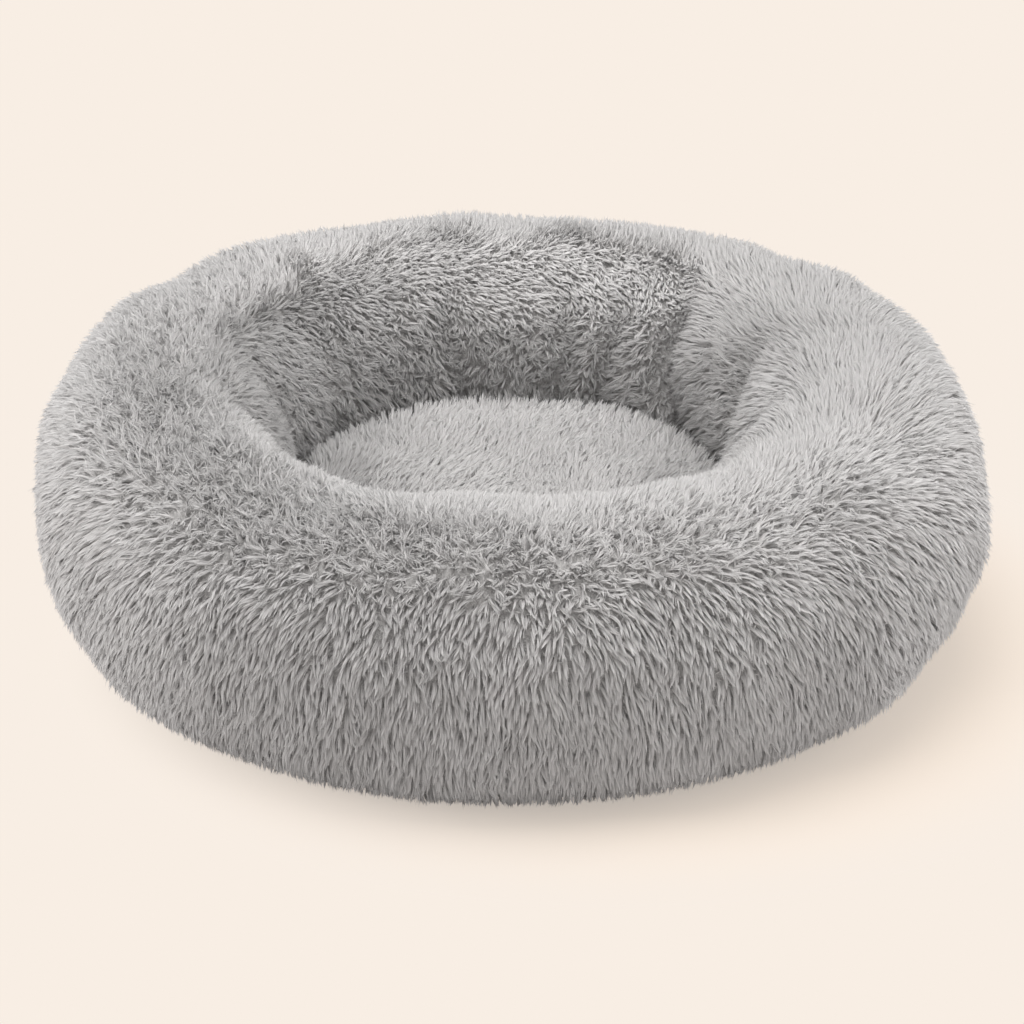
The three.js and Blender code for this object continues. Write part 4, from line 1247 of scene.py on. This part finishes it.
def folded_tape(name, radius, foot, top, breadth, over_top, node_name):
    """A tape folded over a seam's edge, which it covers from above or from below."""
    half = breadth / 2 - BINDING_THICKNESS / 2
    turn = np.linspace(0, math.pi, 9)
    bend = np.stack([-half * np.cos(turn), half * np.sin(turn)], -1)
    if over_top:
        bend = bend + [0, top - half - BINDING_THICKNESS / 2]
        path = np.concatenate([[[-half, foot]], bend, [[half, foot]]])
    else:
        bend = bend * [1, -1] + [0, foot + half + BINDING_THICKNESS / 2]
        path = np.concatenate([[[-half, top]], bend, [[half, top]]])[::-1]
    path, length = evenly(path, 28)
    r, z, angle = turned(path + [radius, 0], BINDING_COLUMNS)
    points = shrunk(placed(r + 0.12 * np.sin(angle * 46), z, angle), -BINDING_THICKNESS / 2)
    shell = closed_ring(doubled(points, BINDING_THICKNESS))
    piece = add_piece(name, shell, BINDING, "binding", node_name)


def stitch_ring(name, radius, height, pitch=STITCH_PITCH):
    """A row of stitches round the bed on one face of a binding."""
    count = int(TURN * radius / pitch)
    stitches = []
    for k in range(count):
        ends = TURN * k / count + np.array([-0.36, -0.2, 0.2, 0.36]) * pitch / radius
        depth = radius + np.array([0, 0.22, 0.22, 0])
        path = np.stack([depth * np.cos(ends), depth * np.sin(ends), np.full(4, height)], -1)
        stitches.append(tube(path, 0.16, 4))
    add_piece(name, joined(stitches), THREAD, "binding")


folded_tape("edge_tape", HEM_RADIUS - 0.8, 2.3, 9, 2, True, "base_edge_binding")
folded_tape("seam_tape", SEAM_RADIUS, 64.8, 74.6, 3, False, "seam_binding")
stitch_ring("edge_tape_stitches", HEM_RADIUS + 0.2, 6)
stitch_ring("seam_tape_stitches", SEAM_RADIUS + 1.5, 70.5)


# Zip: woven tapes, and a coil on the edge of each


def along_x(section, x_from, x_to, step):
    """A section of y and z points run along X, as a grid."""
    x = np.arange(x_from, x_to + step / 2, step)
    points = np.zeros((len(x), len(section), 3))
    points[..., 0] = x[:, None]
    points[..., 1:] = section
    return points


def zip_tape(name, side):
    section, length = evenly(np.array(TAPE_SECTION), 24)
    centre = section * [side, 1] + [ZIP_OFFSET, 0]
    if side > 0:
        centre = centre[::-1]
    grid = along_x(centre, -TAPE_REACH, TAPE_REACH, 4)
    normals = np.cross([1.0, 0, 0], unit(np.gradient(grid, axis=1)))
    normals = normals * np.sign(normals[..., 2:]) * TAPE_THICKNESS / 2
    loop = np.concatenate([grid + normals, (grid - normals)[:, ::-1]], 1)
    form = closed_disc(loop.transpose(1, 0, 2))
    tape = add_piece(f"zip_tape_{name}_cloth", form, ZIP_TAPE, "zip_tape", f"zip_tape_{name}")


def zip_coil(name, side):
    turns = int((ZIP_HALF - CHAIN_START) / COIL_PITCH)
    turn = np.arange(turns * COIL_STEPS + 1) / COIL_STEPS
    middle = (CHAIN_INNER + CHAIN_OUTER) / 2
    reach = (CHAIN_OUTER - CHAIN_INNER) / 2 - COIL_WIRE
    rise = 0.9 - COIL_WIRE
    x = CHAIN_START + COIL_WIRE + turn * (ZIP_HALF - CHAIN_START - 2 * COIL_WIRE) / turns
    y = ZIP_OFFSET + side * (middle + reach * np.cos(TURN * turn))
    path = np.stack([x, y, CHAIN_HEIGHT + rise * np.sin(TURN * turn)], -1)
    add_piece(f"zip_coil_{name}", tube(path, COIL_WIRE, 6), COIL, "zip_coil", f"zip_chain_{name}")


def zip_stitches(name, side):
    stitches = []
    for y, z in TAPE_STITCH_ROWS:
        for x in np.arange(-TAPE_REACH + 4, TAPE_REACH - 4, STITCH_PITCH):
            stitches.append(tube(np.array(TAPE_STITCH) + [x, ZIP_OFFSET + side * y, z], 0.15, 4))
    add_piece(f"zip_stitches_{name}", joined(stitches), THREAD, "zip_tape")


for name, side in (("front", -1), ("rear", 1)):
    zip_tape(name, side)
    zip_coil(name, side)
    zip_stitches(name, side)

for name in ("zip_top_stop_front", "zip_top_stop_rear", "zip_bottom_stop", "zip_slider", "zip_pull"):
    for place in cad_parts[name].material_slots:
        place.material = METAL


# Camera, stage and light


def make_camera():
    data = bpy.data.cameras.new("camera")
    data.lens = FOCAL_LENGTH
    data.sensor_width = SENSOR_WIDTH
    camera = new_object("camera", data)
    elevation = math.radians(CAMERA_ELEVATION)
    x, y, z = CAMERA_AIM
    back, up = CAMERA_DISTANCE * math.cos(elevation), CAMERA_DISTANCE * math.sin(elevation)
    camera.location = (x, y - back, z + up)
    camera.rotation_euler = (math.pi / 2 - elevation, 0, 0)
    bpy.context.scene.camera = camera


def seen_from(tree):
    """1 where the camera, a reflection or a clear surface looks, 0 where light bounces."""
    path = node(tree, "ShaderNodeLightPath")
    return largest(tree, [path.outputs[f"Is {ray} Ray"] for ray in ("Camera", "Glossy", "Transmission")])


def mixed_shader(tree, factor, first, second, output):
    inputs = {"Fac": factor, 1: first.outputs[0], 2: second.outputs[0]}
    feed(tree, tree.nodes[output], {"Surface": node(tree, "ShaderNodeMixShader", inputs).outputs[0]})


def make_floor():
    bpy.ops.mesh.primitive_circle_add(vertices=96, radius=FLOOR_RADIUS, fill_type="NGON")
    floor = bpy.context.object
    floor.name = "floor"
    material, tree, shader = new_material("floor")
    ends = {0: object_place(tree), 1: FADE_CENTRE}
    away = node(tree, "ShaderNodeVectorMath", ends, operation="DISTANCE").outputs["Value"]
    fade = {"Value": away, "From Min": FADE_START, "From Max": FADE_END, "To Min": FADE_FLOOR}
    edge = node(tree, "ShaderNodeMapRange", fade, interpolation_type="SMOOTHSTEP").outputs["Result"]
    colour = mixed(tree, "MIX", seen_from(tree), FLOOR_BOUNCE, FLOOR_COLOUR)
    feed(tree, shader, {"Base Color": colour, "Roughness": 1, "Specular IOR Level": 0})
    glow = node(tree, "ShaderNodeEmission", {"Color": BACKGROUND, "Strength": 1})
    both = node(tree, "ShaderNodeMath", {0: seen_from(tree), 1: edge}, operation="MULTIPLY")
    mixed_shader(tree, both.outputs[0], shader, glow, "Material Output")
    floor.data.materials.append(material)


def make_world():
    world = bpy.data.worlds.new("studio")
    bpy.context.scene.world = world
    world.use_nodes = True
    tree = world.node_tree
    room = tree.nodes["Background"]
    way = node(tree, "ShaderNodeTexCoord").outputs["Generated"]
    up = node(tree, "ShaderNodeSeparateXYZ", {0: way}).outputs["Z"]
    sky = ramp(tree, up, [(0.0, ROOM_LOW), (0.6, ROOM_HIGH)])
    feed(tree, room, {"Color": sky, "Strength": ROOM_STRENGTH})
    behind = node(tree, "ShaderNodeBackground", {"Color": BACKGROUND, "Strength": 1})
    mixed_shader(tree, seen_from(tree), room, behind, "World Output")


def area_light(name, place, size, watts):
    data = bpy.data.lights.new(name, "AREA")
    data.shape = "DISK"
    data.size = size
    data.energy = watts
    lamp = new_object(name, data)
    lamp.location = place
    way = np.array(LAMP_AIM) - np.array(place)
    flat = math.hypot(way[0], way[1])
    lamp.rotation_euler = (math.atan2(flat, -way[2]), 0, math.atan2(-way[0], way[1]))


make_camera()
make_floor()
make_world()
for lamp in LAMPS:
    area_light(*lamp)


bpy.context.scene.view_settings.view_transform = "Standard"
